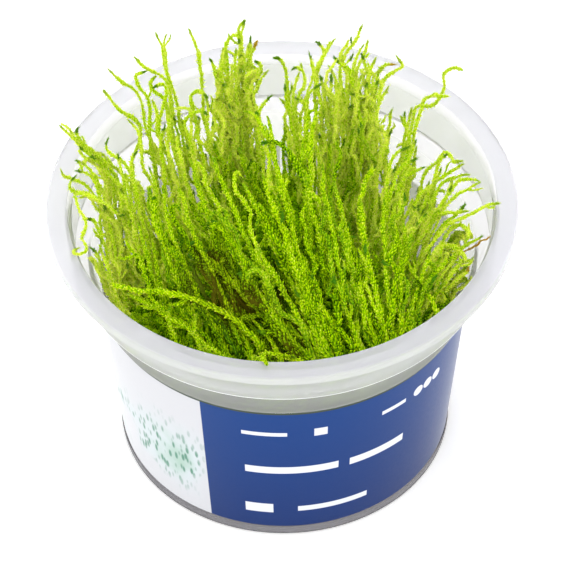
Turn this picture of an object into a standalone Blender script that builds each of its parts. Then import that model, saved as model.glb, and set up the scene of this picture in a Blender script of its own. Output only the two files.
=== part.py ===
# Tissue culture flame moss in its plastic cup.
# Metres, +Z up. The origin is the centre of the cup's base, and -Y faces the viewer.
import random
from math import atan2, cos, pi, radians, sin, tau

import bmesh
import bpy
from mathutils import Vector, noise

MM = 0.001

# Driving dimensions of the cup
RIM_RADIUS = 50.0 * MM          # outer edge of the flange
CUP_HEIGHT = 66.0 * MM
FLANGE_THICKNESS = 2.0 * MM
FLANGE_EDGE_ROUND = 0.7 * MM
MOUTH_RADIUS = 45.4 * MM        # inner edge of the flange's top
SEAT_RADIUS = 44.8 * MM         # foot of the lip that the lid plugs into
COLLAR_RADIUS = 45.0 * MM       # outer wall of the collar at its lower edge
COLLAR_BOTTOM = 54.0 * MM       # height of that lower edge
SHOULDER_RADIUS = 41.7 * MM     # body just under the shoulder
SHOULDER_BOTTOM = 52.4 * MM
BODY_BOTTOM_RADIUS = 35.75 * MM
FOOT_RADIUS = 36.5 * MM
FOOT_HEIGHT = 2.1 * MM
WALL = 0.9 * MM
FLOOR = 1.2 * MM
TURN_STEPS = 48

# Printed film round the body
LABEL_TOP = 44.0 * MM
LABEL_BOTTOM = 2.8 * MM
LABEL_TOP_RADIUS = 40.05 * MM   # outer face
LABEL_BOTTOM_RADIUS = 36.4 * MM
LABEL_THICKNESS = 0.22 * MM
LABEL_SEAM = radians(1.0)       # open butt seam, at the back
LABEL_STEPS = 48

# Moss
GAP = 0.3 * MM                  # between touching pieces
MAT_RADIUS = 33.6 * MM
MAT_TOP = 14.0 * MM
MAT_STEPS = 28
TUFT_SIDES = 10
TUFT_LOWER_RINGS = 3            # up to the cup's shoulder
FURROW = 1.3 * MM               # least width of the furrow between two tufts
WALL_CLEARANCE = 0.8 * MM       # between a tuft and the cup's wall
DOME_RISE = 5.0 * MM            # a tuft's domed top above its last ring
DOME_SHARE = 0.62               # size of the dome's top, as a share of that ring
SPRIG_STEPS = 3
SPRIG_ROOT_SIZE = 0.66          # size of a sprig as a share of the face that it grows from
SPRIG_TIP_SIZE = 0.20
WAIST_HEIGHT = 42.0             # mm, where a tuft's waist is given

# Each tuft in mm: its centre (x, y) and radius at its foot, waist and crown, the crown's height, how far its
# sprigs reach past the crown, and the tips of its leading sprigs
TUFTS = {
    "moss_tuft_left": {
        "foot": (-21.5, 2.0, 11.0), "waist": (-26.5, 3.0, 15.0), "crown": (-31.0, 3.0, 14.5), "top": 62.0,
        "reach": 12.0, "seed": 3,
        "tips": [(-46.4, 8.9, 80.0), (-46.1, 1.8, 74.0), (-43.5, -4.0, 74.0), (-39.5, 12.0, 83.0),
                 (-37.0, 5.0, 84.0)],
    },
    "moss_tuft_back_left": {
        "foot": (-15.5, 17.5, 9.0), "waist": (-19.5, 20.0, 10.5), "crown": (-23.5, 17.5, 10.0), "top": 66.0,
        "reach": 14.0, "seed": 5,
        "tips": [(-36.3, 19.4, 86.0), (-31.0, 20.8, 88.0), (-25.9, 24.5, 91.0), (-17.8, 25.0, 92.0),
                 (-23.0, 11.0, 84.0)],
    },
    "moss_tuft_back": {
        "foot": (1.0, 22.5, 9.5), "waist": (-2.0, 24.0, 11.5), "crown": (-5.5, 19.5, 10.0), "top": 73.0,
        "reach": 11.0, "seed": 8,
        "tips": [(-7.7, 24.6, 95.0), (-11.5, 22.5, 91.5), (-3.5, 21.5, 92.0), (3.0, 15.5, 89.0)],
    },
    "moss_tuft_back_right": {
        "foot": (16.5, 16.5, 9.0), "waist": (16.0, 19.0, 10.0), "crown": (15.5, 16.5, 9.5), "top": 73.0,
        "reach": 12.0, "seed": 13,
        "tips": [(16.5, 24.5, 93.0), (8.5, 20.5, 91.0), (20.0, 18.0, 90.0), (24.5, 20.0, 88.0)],
    },
    "moss_tuft_right": {
        "foot": (22.5, -1.0, 9.5), "waist": (26.0, -2.5, 11.5), "crown": (29.5, -4.5, 12.5), "top": 62.0,
        "reach": 10.0, "seed": 21,
        "tips": [(44.8, -7.7, 72.5), (41.1, -2.1, 73.0), (38.0, 21.2, 84.0), (27.0, 7.0, 80.0),
                 (40.5, -13.0, 70.0)],
    },
    "moss_tuft_front_right": {
        "foot": (16.0, -17.0, 11.0), "waist": (19.5, -20.3, 15.5), "crown": (21.0, -22.5, 17.5), "top": 60.0,
        "reach": 14.0, "seed": 34,
        "tips": [(35.0, -24.0, 70.0), (29.0, -18.0, 77.0), (20.0, -18.0, 80.0)],
    },
    "moss_tuft_front": {
        "foot": (0.0, -23.0, 10.0), "waist": (1.0, -26.0, 14.0), "crown": (1.0, -27.5, 15.5), "top": 58.0,
        "reach": 13.0, "seed": 55,
        "tips": [(-4.5, -41.0, 67.0), (-3.0, -24.0, 78.0), (6.0, -21.0, 80.0)],
    },
    "moss_tuft_front_left": {
        "foot": (-16.5, -17.0, 11.0), "waist": (-19.5, -20.0, 15.5), "crown": (-22.5, -20.5, 17.5), "top": 59.0,
        "reach": 12.0, "seed": 89,
        "tips": [(-42.0, -15.0, 70.0), (-38.5, -22.0, 69.5), (-31.0, -13.0, 78.0), (-20.0, -15.0, 79.0)],
    },
    "moss_tuft_centre": {
        "foot": (0.0, 0.0, 11.0), "waist": (-1.0, 1.0, 17.0), "crown": (-1.5, -3.0, 18.0), "top": 69.0,
        "reach": 16.0, "seed": 144,
        "tips": [(1.0, 9.0, 88.0), (-14.0, 1.0, 86.0), (8.0, 4.0, 88.0), (-5.0, 5.0, 87.0)],
    },
}


def clear_scene():
    for obj in list(bpy.data.objects):
        bpy.data.objects.remove(obj, do_unlink=True)


def make_material(name, colour, roughness, transmission=0.0):
    material = bpy.data.materials.new(name)
    material.use_nodes = True
    shader = material.node_tree.nodes["Principled BSDF"]
    shader.inputs["Base Color"].default_value = (*colour, 1.0)
    shader.inputs["Roughness"].default_value = roughness
    shader.inputs["Metallic"].default_value = 0.0
    shader.inputs["Transmission Weight"].default_value = transmission
    material.diffuse_color = (*colour, 1.0)
    return material


def finish_object(name, bm, material, smooth_angle=radians(35)):
    mesh = bpy.data.meshes.new(name)
    bmesh.ops.recalc_face_normals(bm, faces=bm.faces)
    bm.to_mesh(mesh)
    bm.free()
    mesh.materials.append(material)
    mesh.shade_smooth()
    mesh.set_sharp_from_angle(angle=smooth_angle)
    obj = bpy.data.objects.new(name, mesh)
    bpy.context.collection.objects.link(obj)
    return obj


def arc(centre_r, centre_z, radius, start, end, steps):
    # Points of a round corner in the profile's r-z plane
    points = []
    for i in range(steps + 1):
        angle = start + (end - start) * i / steps
        points.append((centre_r + radius * cos(angle), centre_z + radius * sin(angle)))
    return points


def turn(profile, steps, start=0.0, sweep=tau):
    # Spins a closed r-z outline round the Z axis
    bm = bmesh.new()
    verts = [bm.verts.new((r * cos(start), r * sin(start), z)) for r, z in profile]
    on_axis = [r < 1e-7 for r, _ in profile]
    full = abs(sweep - tau) < 1e-6
    edges = []
    for i in range(len(verts)):
        j = (i + 1) % len(verts)
        if not (on_axis[i] and on_axis[j]):
            edges.append(bm.edges.new((verts[i], verts[j])))
    if not full:
        bm.faces.new(verts)
    bmesh.ops.spin(bm, geom=verts + edges, cent=(0, 0, 0), axis=(0, 0, 1), angle=sweep, steps=steps,
                   use_merge=full, use_duplicate=False)
    if not full:
        rim = [edge for edge in bm.edges if edge.is_boundary]
        bmesh.ops.contextual_create(bm, geom=rim)
    bmesh.ops.remove_doubles(bm, verts=bm.verts, dist=1e-6)
    return bm


def label_radius(z):
    share = (z - LABEL_BOTTOM) / (LABEL_TOP - LABEL_BOTTOM)
    return LABEL_BOTTOM_RADIUS + (LABEL_TOP_RADIUS - LABEL_BOTTOM_RADIUS) * share


def body_radius(z):
    # Outer wall of the body behind the film
    return label_radius(z) - LABEL_THICKNESS - 1.3 * GAP


def make_cup(material):
    recess_top = LABEL_TOP + 0.35 * MM
    collar_top = CUP_HEIGHT - FLANGE_THICKNESS
    edge = FLANGE_EDGE_ROUND
    outside = (
        [(MOUTH_RADIUS, CUP_HEIGHT)]
        + arc(RIM_RADIUS - edge, CUP_HEIGHT - edge, edge, pi / 2, 0.0, 3)
        + [(RIM_RADIUS - 0.1 * MM, collar_top), (COLLAR_RADIUS + 1.2 * MM, collar_top),
           (COLLAR_RADIUS + 0.7 * MM, collar_top - 0.5 * MM)]
        + arc(COLLAR_RADIUS - 0.5 * MM, COLLAR_BOTTOM + 0.2 * MM, 0.5 * MM, 0.0, -pi / 2, 3)
        + [(SHOULDER_RADIUS + 0.3 * MM, SHOULDER_BOTTOM + 0.1 * MM),
           (SHOULDER_RADIUS, SHOULDER_BOTTOM - 0.3 * MM),
           (body_radius(recess_top) + 1.25 * MM, recess_top + 0.5 * MM),
           (body_radius(recess_top), recess_top),
           (BODY_BOTTOM_RADIUS, FOOT_HEIGHT + 0.3 * MM),
           (FOOT_RADIUS, FOOT_HEIGHT - 0.1 * MM)]
        + arc(FOOT_RADIUS - 0.7 * MM, 0.7 * MM, 0.7 * MM, 0.0, -pi / 2, 3)
        + [(0.0, 0.0)]
    )
    inside = [
        (0.0, FLOOR),
        (BODY_BOTTOM_RADIUS - WALL - 0.9 * MM, FLOOR),
        (BODY_BOTTOM_RADIUS - WALL, FLOOR + 0.9 * MM),
        (body_radius(recess_top) - WALL, recess_top - 0.8 * MM),
        (SHOULDER_RADIUS - WALL, SHOULDER_BOTTOM + 0.5 * MM),
        (SHOULDER_RADIUS - WALL + 0.4 * MM, SHOULDER_BOTTOM + 0.9 * MM),
        (COLLAR_RADIUS - WALL - 0.5 * MM, COLLAR_BOTTOM + 0.5 * MM),
        (COLLAR_RADIUS - WALL, COLLAR_BOTTOM + 1.0 * MM),
        (SEAT_RADIUS - 0.3 * MM, collar_top - 0.3 * MM),
        (SEAT_RADIUS, collar_top),
        (MOUTH_RADIUS - 0.25 * MM, CUP_HEIGHT - 0.3 * MM),
    ]
    bm = turn(outside + inside, TURN_STEPS)
    return finish_object("cup", bm, material)


def make_label(material):
    thick = LABEL_THICKNESS
    outline = [
        (label_radius(LABEL_TOP), LABEL_TOP), (label_radius(LABEL_BOTTOM), LABEL_BOTTOM),
        (label_radius(LABEL_BOTTOM) - thick, LABEL_BOTTOM), (label_radius(LABEL_TOP) - thick, LABEL_TOP),
    ]
    bm = turn(outline, LABEL_STEPS, start=pi / 2 + LABEL_SEAM / 2, sweep=tau - LABEL_SEAM)
    return finish_object("label", bm, material)


def make_mat(material):
    # Rooted base of the moss: flat on the cup's floor, knobbly at its side, flat where the tufts stand
    bottom = FLOOR + GAP
    rings = [(0.90, bottom), (0.985, bottom + 2.0 * MM), (1.0, bottom + 6.0 * MM),
             (0.985, MAT_TOP - 2.2 * MM), (0.93, MAT_TOP)]
    bm = bmesh.new()
    result = bmesh.ops.create_circle(bm, cap_ends=True, radius=MAT_RADIUS * rings[0][0], segments=MAT_STEPS)
    bmesh.ops.translate(bm, verts=result["verts"], vec=(0, 0, rings[0][1]))
    base = bm.faces[:]
    loop = list(base[0].edges)
    for share, z in rings[1:]:
        grown = bmesh.ops.extrude_edge_only(bm, edges=loop)["geom"]
        verts = [item for item in grown if isinstance(item, bmesh.types.BMVert)]
        loop = [item for item in grown if isinstance(item, bmesh.types.BMEdge)]
        for vert in verts:
            angle = atan2(vert.co.y, vert.co.x)
            lump = 0.7 * MM * noise.noise(Vector((cos(angle) * 3, sin(angle) * 3, z * 150)))
            vert.co = Vector((cos(angle), sin(angle), 0)) * (MAT_RADIUS * share + lump)
            vert.co.z = z
    bmesh.ops.contextual_create(bm, geom=loop)
    return finish_object("moss_mat", bm, material, radians(60))


def wall_radius(z):
    # Inner wall of the cup, and how far a tuft may reach over the open mouth
    steps = [(FLOOR, BODY_BOTTOM_RADIUS - WALL), (LABEL_TOP, body_radius(LABEL_TOP) - WALL),
             (SHOULDER_BOTTOM, SHOULDER_RADIUS - WALL), (COLLAR_BOTTOM + 1.0 * MM, COLLAR_RADIUS - WALL),
             (CUP_HEIGHT, SEAT_RADIUS - 0.3 * MM)]
    for (low, near), (high, far) in zip(steps, steps[1:]):
        if z <= high:
            return near + (far - near) * max(0.0, z - low) / (high - low)
    return steps[-1][1]


def tuft_axis(tuft, z):
    # Centre and radius of a tuft at a height
    foot, waist, crown = (Vector(tuft[key]) * MM for key in ("foot", "waist", "crown"))
    foot_z, waist_z, crown_z = MAT_TOP + GAP, WAIST_HEIGHT * MM, tuft["top"] * MM
    if z < waist_z:
        return foot.lerp(waist, (z - foot_z) / (waist_z - foot_z))
    return waist.lerp(crown, min(1.0, (z - waist_z) / (crown_z - waist_z)))


def tuft_reach(tuft, z, out):
    # How far a tuft spreads from its axis in one direction, short of its neighbours and of the wall
    at = tuft_axis(tuft, z)
    centre, radius = at.to_2d(), at.z
    reach = radius
    for other in TUFTS.values():
        if other is tuft:
            continue
        there = tuft_axis(other, z)
        away = there.to_2d() - centre
        border = away.length * radius / (radius + there.z) - FURROW / 2
        facing = out.dot(away.normalized())
        if facing > 0.05:
            reach = min(reach, border / facing)
    limit = wall_radius(z) - WALL_CLEARANCE
    along = centre.dot(out)
    reach = min(reach, -along + (along ** 2 - centre.length_squared + limit ** 2) ** 0.5)
    swell = noise.noise(Vector((out.x, out.y, z * 45 + tuft["seed"])))
    return reach * (0.94 + 0.06 * swell)


def choose_tips(tuft, faces):
    # One tip for each sprig: the leading tips go to the nearest faces, and the other sprigs rise from their own
    # face and stay within the tuft's share of the mouth
    rng = random.Random(tuft["seed"])
    top = tuft["top"] * MM
    centre = tuft_axis(tuft, top).to_2d()
    tips = {}
    for lead in tuft["tips"]:
        point = Vector(lead) * MM
        free = [face for face in faces if face not in tips]
        nearest = min(free, key=lambda face: (face.calc_center_median() - point).length)
        tips[nearest] = point
    for face in faces:
        if face not in tips:
            start = face.calc_center_median()
            out = (start.to_2d() - centre).normalized()
            spot = centre + out * tuft_reach(tuft, top, out) * rng.uniform(0.78, 0.95)
            tips[face] = Vector((spot.x, spot.y, start.z + tuft["reach"] * MM * rng.uniform(0.5, 1.1)))
    return tips


def grow_sprig(bm, face, tip):
    # Extrudes a face in steps along a curve that first rises and then leans to its tip
    start = face.calc_center_median()
    bend = start + Vector((0, 0, (tip.z - start.z) * 0.6)) + face.normal * 1.5 * MM
    offsets = [vert.co - start for vert in face.verts]
    for i in range(1, SPRIG_STEPS + 1):
        t = i / SPRIG_STEPS
        at = start * (1 - t) ** 2 + bend * 2 * t * (1 - t) + tip * t ** 2
        size = SPRIG_ROOT_SIZE + (SPRIG_TIP_SIZE - SPRIG_ROOT_SIZE) * t
        face = bmesh.ops.extrude_discrete_faces(bm, faces=[face])["faces"][0]
        for vert, offset in zip(face.verts, offsets):
            vert.co = at + offset * size


def make_tuft(name, tuft, material):
    bottom, top = MAT_TOP + GAP, tuft["top"] * MM
    rise = SHOULDER_BOTTOM - bottom
    heights = [bottom + rise * ring / TUFT_LOWER_RINGS for ring in range(TUFT_LOWER_RINGS + 1)] + [top]
    bm = bmesh.new()
    loop_verts = bmesh.ops.create_circle(bm, cap_ends=True, radius=1.0, segments=TUFT_SIDES)["verts"]
    sides = [Vector((vert.co.x, vert.co.y)) for vert in loop_verts]
    loop = list(bm.faces[:][0].edges)

    def place(verts, z, share=1.0):
        centre = tuft_axis(tuft, z)
        for vert, out in verts.items():
            spot = centre.to_2d() + out * tuft_reach(tuft, z, out) * share
            vert.co = (spot.x, spot.y, z)

    ring_verts = dict(zip(loop_verts, sides))
    place(ring_verts, bottom)
    levels = [(z, 1.0) for z in heights[1:]] + [(top + DOME_RISE, DOME_SHARE)]
    for z, share in levels:
        grown = bmesh.ops.extrude_edge_only(bm, edges=loop)["geom"]
        loop = [item for item in grown if isinstance(item, bmesh.types.BMEdge)]
        flanks = [item for item in grown if isinstance(item, bmesh.types.BMFace)]
        new_verts = {}
        for vert in (item for item in grown if isinstance(item, bmesh.types.BMVert)):
            below = next(edge.other_vert(vert) for edge in vert.link_edges if edge.other_vert(vert) in ring_verts)
            new_verts[vert] = ring_verts[below]
        ring_verts = new_verts
        place(ring_verts, z, share)
    cap = bmesh.ops.contextual_create(bm, geom=loop)["faces"]
    crown = bmesh.ops.poke(bm, faces=cap)["faces"]
    bmesh.ops.recalc_face_normals(bm, faces=bm.faces)

    def bearing(face):
        spot = face.calc_center_median()
        return atan2(spot.y - tuft["crown"][1] * MM, spot.x - tuft["crown"][0] * MM)

    roots = sorted(flanks, key=bearing) + sorted(crown, key=bearing)
    tips = choose_tips(tuft, roots)
    for face in roots:
        grow_sprig(bm, face, tips[face])
    return finish_object(name, bm, material, radians(60))


clear_scene()
cup_plastic = make_material("cup_plastic", (0.90, 0.91, 0.90), 0.28, 0.55)
label_film = make_material("label_film", (0.035, 0.085, 0.29), 0.35)
moss_green = make_material("moss_green", (0.33, 0.52, 0.03), 0.65)
mat_green = make_material("mat_green", (0.10, 0.17, 0.02), 0.8)
make_cup(cup_plastic)
make_label(label_film)
make_mat(mat_green)
for tuft_name, tuft_shape in TUFTS.items():
    make_tuft(tuft_name, tuft_shape, moss_green)
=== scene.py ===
import bpy, bmesh, math
import numpy as np
from mathutils import Matrix, Vector


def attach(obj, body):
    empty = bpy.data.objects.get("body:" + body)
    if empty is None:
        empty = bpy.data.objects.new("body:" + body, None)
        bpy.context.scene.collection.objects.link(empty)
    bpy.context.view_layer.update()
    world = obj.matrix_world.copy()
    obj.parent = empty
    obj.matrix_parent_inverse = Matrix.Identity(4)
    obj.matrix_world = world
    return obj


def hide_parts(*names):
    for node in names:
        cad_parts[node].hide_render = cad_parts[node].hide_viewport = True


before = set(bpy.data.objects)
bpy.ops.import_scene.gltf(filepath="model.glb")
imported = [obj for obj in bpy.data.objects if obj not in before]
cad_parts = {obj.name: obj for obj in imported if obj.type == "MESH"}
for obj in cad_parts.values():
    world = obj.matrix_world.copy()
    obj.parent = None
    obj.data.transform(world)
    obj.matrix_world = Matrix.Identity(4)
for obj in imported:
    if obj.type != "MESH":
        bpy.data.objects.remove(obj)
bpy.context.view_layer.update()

# Flame moss in its culture cup
# Lengths in the settings are millimetres, and the middle of the cup's base is the origin
mm = 0.001
print("frame loaded,", len(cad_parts), "CAD nodes")


# Camera and light

cameraSettings = {"place": (0.38, -546.31, 624.71), "lookDown": 46.93, "roll": -0.79, "lens": 233.8}

studioSettings = {
    "world": 1.0,
    "lamps": [  # name, place, aim, size, watts
        ("back", (-60, 430, 480), (0, 0, 60), 320, 0.9),
        ("front", (-70, -420, 850), (0, 0, 50), 420, 2.15),
    ],
    "floorSize": 5000,
    "floorColour": (0.97, 0.97, 0.97),
    "floorGlow": 0.25,
}


def makeCamera(settings):
    data = bpy.data.cameras.new("camera")
    data.sensor_width = 36
    data.lens = settings["lens"]
    data.clip_start, data.clip_end = 0.05, 20
    camera = bpy.data.objects.new("camera", data)
    turn = Matrix.Rotation(math.radians(90 - settings["lookDown"]), 4, "X")
    roll = Matrix.Rotation(math.radians(settings["roll"]), 4, "Z")
    camera.matrix_world = Matrix.Translation(Vector(settings["place"]) * mm) @ turn @ roll
    bpy.context.scene.collection.objects.link(camera)
    bpy.context.scene.camera = camera


def makeStudio(settings):
    scene = bpy.context.scene
    scene.view_settings.view_transform = "Standard"
    world = bpy.data.worlds.new("studio")
    world.use_nodes = True
    sky = world.node_tree.nodes["Background"]
    sky.inputs["Color"].default_value = (1, 1, 1, 1)
    sky.inputs["Strength"].default_value = settings["world"]
    scene.world = world
    for name, place, aim, size, watts in settings["lamps"]:
        data = bpy.data.lights.new(name, "AREA")
        data.shape, data.size, data.energy = "DISK", size * mm, watts
        lamp = bpy.data.objects.new(name, data)
        lamp.location = Vector(place) * mm
        lamp.rotation_euler = (Vector(aim) - Vector(place)).to_track_quat("-Z", "Y").to_euler()
        scene.collection.objects.link(lamp)


makeCamera(cameraSettings)
makeStudio(studioSettings)
print("camera and lamps set")


# Helpers for meshes

def ringOf(bm, sides, radius, place, capped=False):
    # a level ring of vertices, place in mm
    made = bmesh.ops.create_circle(bm, cap_ends=capped, segments=sides, radius=radius * mm)["verts"]
    bmesh.ops.translate(bm, verts=made, vec=Vector(place) * mm)
    return [edge for edge in bm.edges if edge.verts[0] in made and edge.verts[1] in made]


def growRing(bm, edges):
    # extrudes a ring and gives back the new ring's vertices and edges
    made = bmesh.ops.extrude_edge_only(bm, edges=edges)["geom"]
    verts = [item for item in made if isinstance(item, bmesh.types.BMVert)]
    fresh = set(verts)
    edges = [item for item in made if isinstance(item, bmesh.types.BMEdge)
             and item.verts[0] in fresh and item.verts[1] in fresh]
    return verts, edges


def inOrder(bm):
    # the faces from the bottom up and round the axis, because an extrude makes them in no fixed order
    def place(face):
        middle = face.calc_center_median()
        return round(middle.z, 6), round(math.atan2(middle.y, middle.x), 6)
    return sorted(bm.faces, key=place)


def finishPiece(bm, name, material, nodes, smooth):
    mesh = bpy.data.meshes.new(name)
    bm.to_mesh(mesh)
    bm.free()
    return placePiece(mesh, name, material, nodes, smooth)


def placePiece(mesh, name, material, nodes, smooth):
    # puts the finished mesh in the scene in place of its CAD nodes; smooth is the sharpest smoothed angle
    mesh.polygons.foreach_set("use_smooth", [True] * len(mesh.polygons))
    mesh.set_sharp_from_angle(angle=math.radians(smooth))
    mesh.materials.append(material)
    mesh.update()
    piece = bpy.data.objects.new(name, mesh)
    bpy.context.scene.collection.objects.link(piece)
    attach(piece, "root")
    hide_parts(*nodes)
    print(name, "has", sum(len(face.vertices) - 2 for face in mesh.polygons), "triangles")
    return piece


def arc(x, z, radius, start, end, steps):
    # points on a rounding, angles in degrees from level outwards
    turns = [math.radians(start + (end - start) * i / steps) for i in range(steps + 1)]
    return [(x + radius * math.cos(turn), z + radius * math.sin(turn)) for turn in turns]


# Helpers for materials

def addNode(tree, kind, **values):
    made = tree.nodes.new(kind)
    for name, value in values.items():
        setattr(made, name, value)
    return made


def plug(tree, socket, value):
    # a socket takes a link, or a plain number or colour
    if isinstance(value, bpy.types.NodeSocket):
        tree.links.new(value, socket)
    else:
        socket.default_value = value


def sums(tree, operation, first, second=0.0, third=0.0):
    made = addNode(tree, "ShaderNodeMath", operation=operation)
    for socket, value in zip(made.inputs, (first, second, third)):
        plug(tree, socket, value)
    return made.outputs[0]


def times(tree, first, second):
    return sums(tree, "MULTIPLY", first, second)


def blendColour(tree, share, first, second):
    made = addNode(tree, "ShaderNodeMix", data_type="RGBA")
    plug(tree, made.inputs["Factor"], share)
    plug(tree, made.inputs[6], first)
    plug(tree, made.inputs[7], second)
    return made.outputs[2]


def step(tree, value, start, end):
    # 0 below start, 1 above end
    made = addNode(tree, "ShaderNodeMapRange", clamp=True)
    plug(tree, made.inputs["Value"], value)
    made.inputs["From Min"].default_value = start
    made.inputs["From Max"].default_value = end
    return made.outputs["Result"]


def ramp(tree, value, stops):
    made = addNode(tree, "ShaderNodeValToRGB")
    elements = made.color_ramp.elements
    while len(elements) < len(stops):
        elements.new(0.5)
    for element, (place, colour) in zip(elements, stops):
        element.position = place
        element.color = (*colour, 1)
    plug(tree, made.inputs[0], value)
    return made.outputs[0]


def newGroup(name, inputs, outputs):
    group = bpy.data.node_groups.new(name, "ShaderNodeTree")
    for label, kind, value in inputs:
        socket = group.interface.new_socket(label, in_out="INPUT", socket_type=kind)
        socket.default_value = value
    for label, kind in outputs:
        group.interface.new_socket(label, in_out="OUTPUT", socket_type=kind)
    return group, addNode(group, "NodeGroupInput").outputs, addNode(group, "NodeGroupOutput").inputs


def useGroup(tree, group, **values):
    made = addNode(tree, "ShaderNodeGroup", node_tree=group)
    for name, value in values.items():
        plug(tree, made.inputs[name], value)
    return made.outputs


def newMaterial(name, values):
    # the values are those that are the same all over, set on the shader's own sockets
    material = bpy.data.materials.new(name)
    material.use_nodes = True
    tree = material.node_tree
    shader = tree.nodes["Principled BSDF"]
    for label, value in values.items():
        shader.inputs[label].default_value = value
    place = addNode(tree, "ShaderNodeTexCoord").outputs["Object"]
    return material, tree, shader, place


def bumpFrom(tree, height, strength, distance):
    made = addNode(tree, "ShaderNodeBump")
    made.inputs["Strength"].default_value = strength
    made.inputs["Distance"].default_value = distance * mm
    plug(tree, made.inputs["Height"], height)
    return made.outputs["Normal"]


def makeGrainGroup():
    # a fine grain with a slow cloud under it, both around 0.5
    group, given, asked = newGroup(
        "grain",
        [("Place", "NodeSocketVector", (0, 0, 0)), ("Fine", "NodeSocketFloat", 2000),
         ("Cloud", "NodeSocketFloat", 60)],
        [("Fine", "NodeSocketFloat"), ("Cloud", "NodeSocketFloat")])
    for label, detail in (("Fine", 3), ("Cloud", 2)):
        noise = addNode(group, "ShaderNodeTexNoise")
        noise.inputs["Detail"].default_value = detail
        plug(group, noise.inputs["Vector"], given["Place"])
        plug(group, noise.inputs["Scale"], given[label])
        plug(group, asked[label], noise.outputs["Fac"])
    return group


grainGroup = makeGrainGroup()


# Floor

def makeFloor(settings):
    material, tree, shader, place = newMaterial("studioFloor", {
        "Specular IOR Level": 0.1, "Emission Color": (1, 1, 1, 1),
        "Emission Strength": settings["floorGlow"]})
    grain = useGroup(tree, grainGroup, Place=place, Fine=400.0, Cloud=3.0)
    light = settings["floorColour"]
    dim = tuple(part * 0.985 for part in light)
    plug(tree, shader.inputs["Base Color"], blendColour(tree, grain["Cloud"], (*dim, 1), (*light, 1)))
    plug(tree, shader.inputs["Roughness"], sums(tree, "MULTIPLY_ADD", grain["Fine"], 0.1, 0.75))
    bm = bmesh.new()
    bmesh.ops.create_grid(bm, x_segments=8, y_segments=8, size=settings["floorSize"] / 2 * mm)
    mesh = bpy.data.meshes.new("floor")
    bm.to_mesh(mesh)
    bm.free()
    mesh.materials.append(material)
    floor = bpy.data.objects.new("floor", mesh)
    bpy.context.scene.collection.objects.link(floor)


makeFloor(studioSettings)
print("floor laid")


# Cup

cupSettings = {
    "rimRadius": 50, "height": 66, "flange": 2, "edgeRound": 0.7, "mouthRadius": 45.4, "seatRadius": 44.8,
    "collarRadius": 45, "shoulderRadius": 41.7, "bodyBottomRadius": 35.75, "footRadius": 36.5,
    "wall": 0.9, "floorThickness": 1.2, "steps": 192,
    "roughness": 0.17,
    "cloud": 0.06,     # how far the slow cloud changes the roughness
    "bend": 1.09,      # index of refraction, low because the plastic is thin and milky
    "milk": 0.8,       # mm that light travels in the plastic before it is turned
    "finishes": {      # colour, and how much light goes straight through
        "cupWall": ((0.895, 0.88, 0.92), 0.7), "cupCollar": ((0.86, 0.875, 0.86), 0.58),
        # the edge finish below is a painted highlight: a bright, nearly opaque band on the collar's rounded
        # lower edge
        "cupEdgePaintedHighlight": ((0.95, 0.955, 0.96), 0.1), "cupFlangePaintedShade": ((0.66, 0.66, 0.695), 0.4),
        # the flange finish above is darker and bluer than the wall: painted shade on the flange's top,
        # which faces the lamps
        "cupFootPaintedShade": ((0.17, 0.165, 0.18), 0.75), "cupBody": ((0.86, 0.855, 0.86), 0.8),
    # the foot finish above is nearly black: painted shade on the foot band by the floor
    },
}
labelSettings = {
    "top": 44, "bottom": 2.8, "topRadius": 40.05, "bottomRadius": 36.4, "thickness": 0.22, "play": 0.39,
    "slit": 1.0, "steps": 180,
}


def labelRadius(z):
    # the sleeve's outer face at a height
    s = labelSettings
    share = s["topRadius"] - s["bottomRadius"]
    return s["bottomRadius"] + share * (z - s["bottom"]) / (s["top"] - s["bottom"])


def bodyRadius(z):
    # the cup's outer wall under the sleeve
    return labelRadius(z) - labelSettings["thickness"] - labelSettings["play"]


def cupProfile(s):
    # from the middle of the floor, up the inside, over the flange and down the outside
    rim, top, collar, shoulder = s["rimRadius"], s["height"], s["collarRadius"], s["shoulderRadius"]
    body, foot, wall, edge = s["bodyBottomRadius"], s["footRadius"], s["wall"], s["edgeRound"]
    under, bottom = top - s["flange"], s["floorThickness"]
    step = bodyRadius(44.35)
    inside = [(0, bottom), (body - wall - 0.9, bottom), (body - wall - 0.3, 1.5), (body - wall, 2.1),
              (step - wall, 43.55), (shoulder - wall, 52.9), (shoulder - wall + 0.4, 53.3),
              (collar - wall - 0.5, 54.5), (collar - wall, 55), (s["seatRadius"] - 0.3, 63.7),
              (s["seatRadius"], 64), (s["mouthRadius"] - 0.25, 65.7)]
    outside = [(s["mouthRadius"], top)] + arc(rim - edge, top - edge, edge, 90, 0, 5)
    outside += [(rim - 0.1, under), (collar + 1.2, under), (collar + 0.85, under - 0.15),
                (collar + 0.7, under - 0.5)]
    outside += arc(collar - 0.5, 54.2, 0.5, 0, -90, 4)
    outside += [(shoulder + 0.3, 52.5), (shoulder, 52.1), (step + 1.25, 44.85), (step + 1.1, 44.6),
                (step, 44.35), (body, 2.4), (foot, 2.0)]
    outside += arc(foot - edge, edge, edge, 0, -90, 4)
    outside += [(foot - 2.2, 0), (foot - 2.6, 0.5), (12, 0.5), (11.5, 0.2), (0, 0.2)]
    return inside + outside


def makeCupMaterial(s, name, colour, see):
    material, tree, shader, place = newMaterial(name, {
        "Transmission Weight": see, "IOR": s["bend"], "Subsurface Weight": 1.0,
        "Subsurface Radius": (1, 1, 1), "Subsurface Scale": s["milk"] * mm})
    grain = useGroup(tree, grainGroup, Place=place, Fine=900.0, Cloud=55.0)
    cool = (*[part * 0.975 for part in colour], 1)
    rough = sums(tree, "MULTIPLY_ADD", grain["Cloud"], s["cloud"], s["roughness"] - s["cloud"] / 2)
    plug(tree, shader.inputs["Base Color"], blendColour(tree, grain["Cloud"], cool, (*colour, 1)))
    plug(tree, shader.inputs["Roughness"], rough)
    plug(tree, shader.inputs["Normal"], bumpFrom(tree, grain["Cloud"], 0.25, 0.4))
    return material


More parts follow.
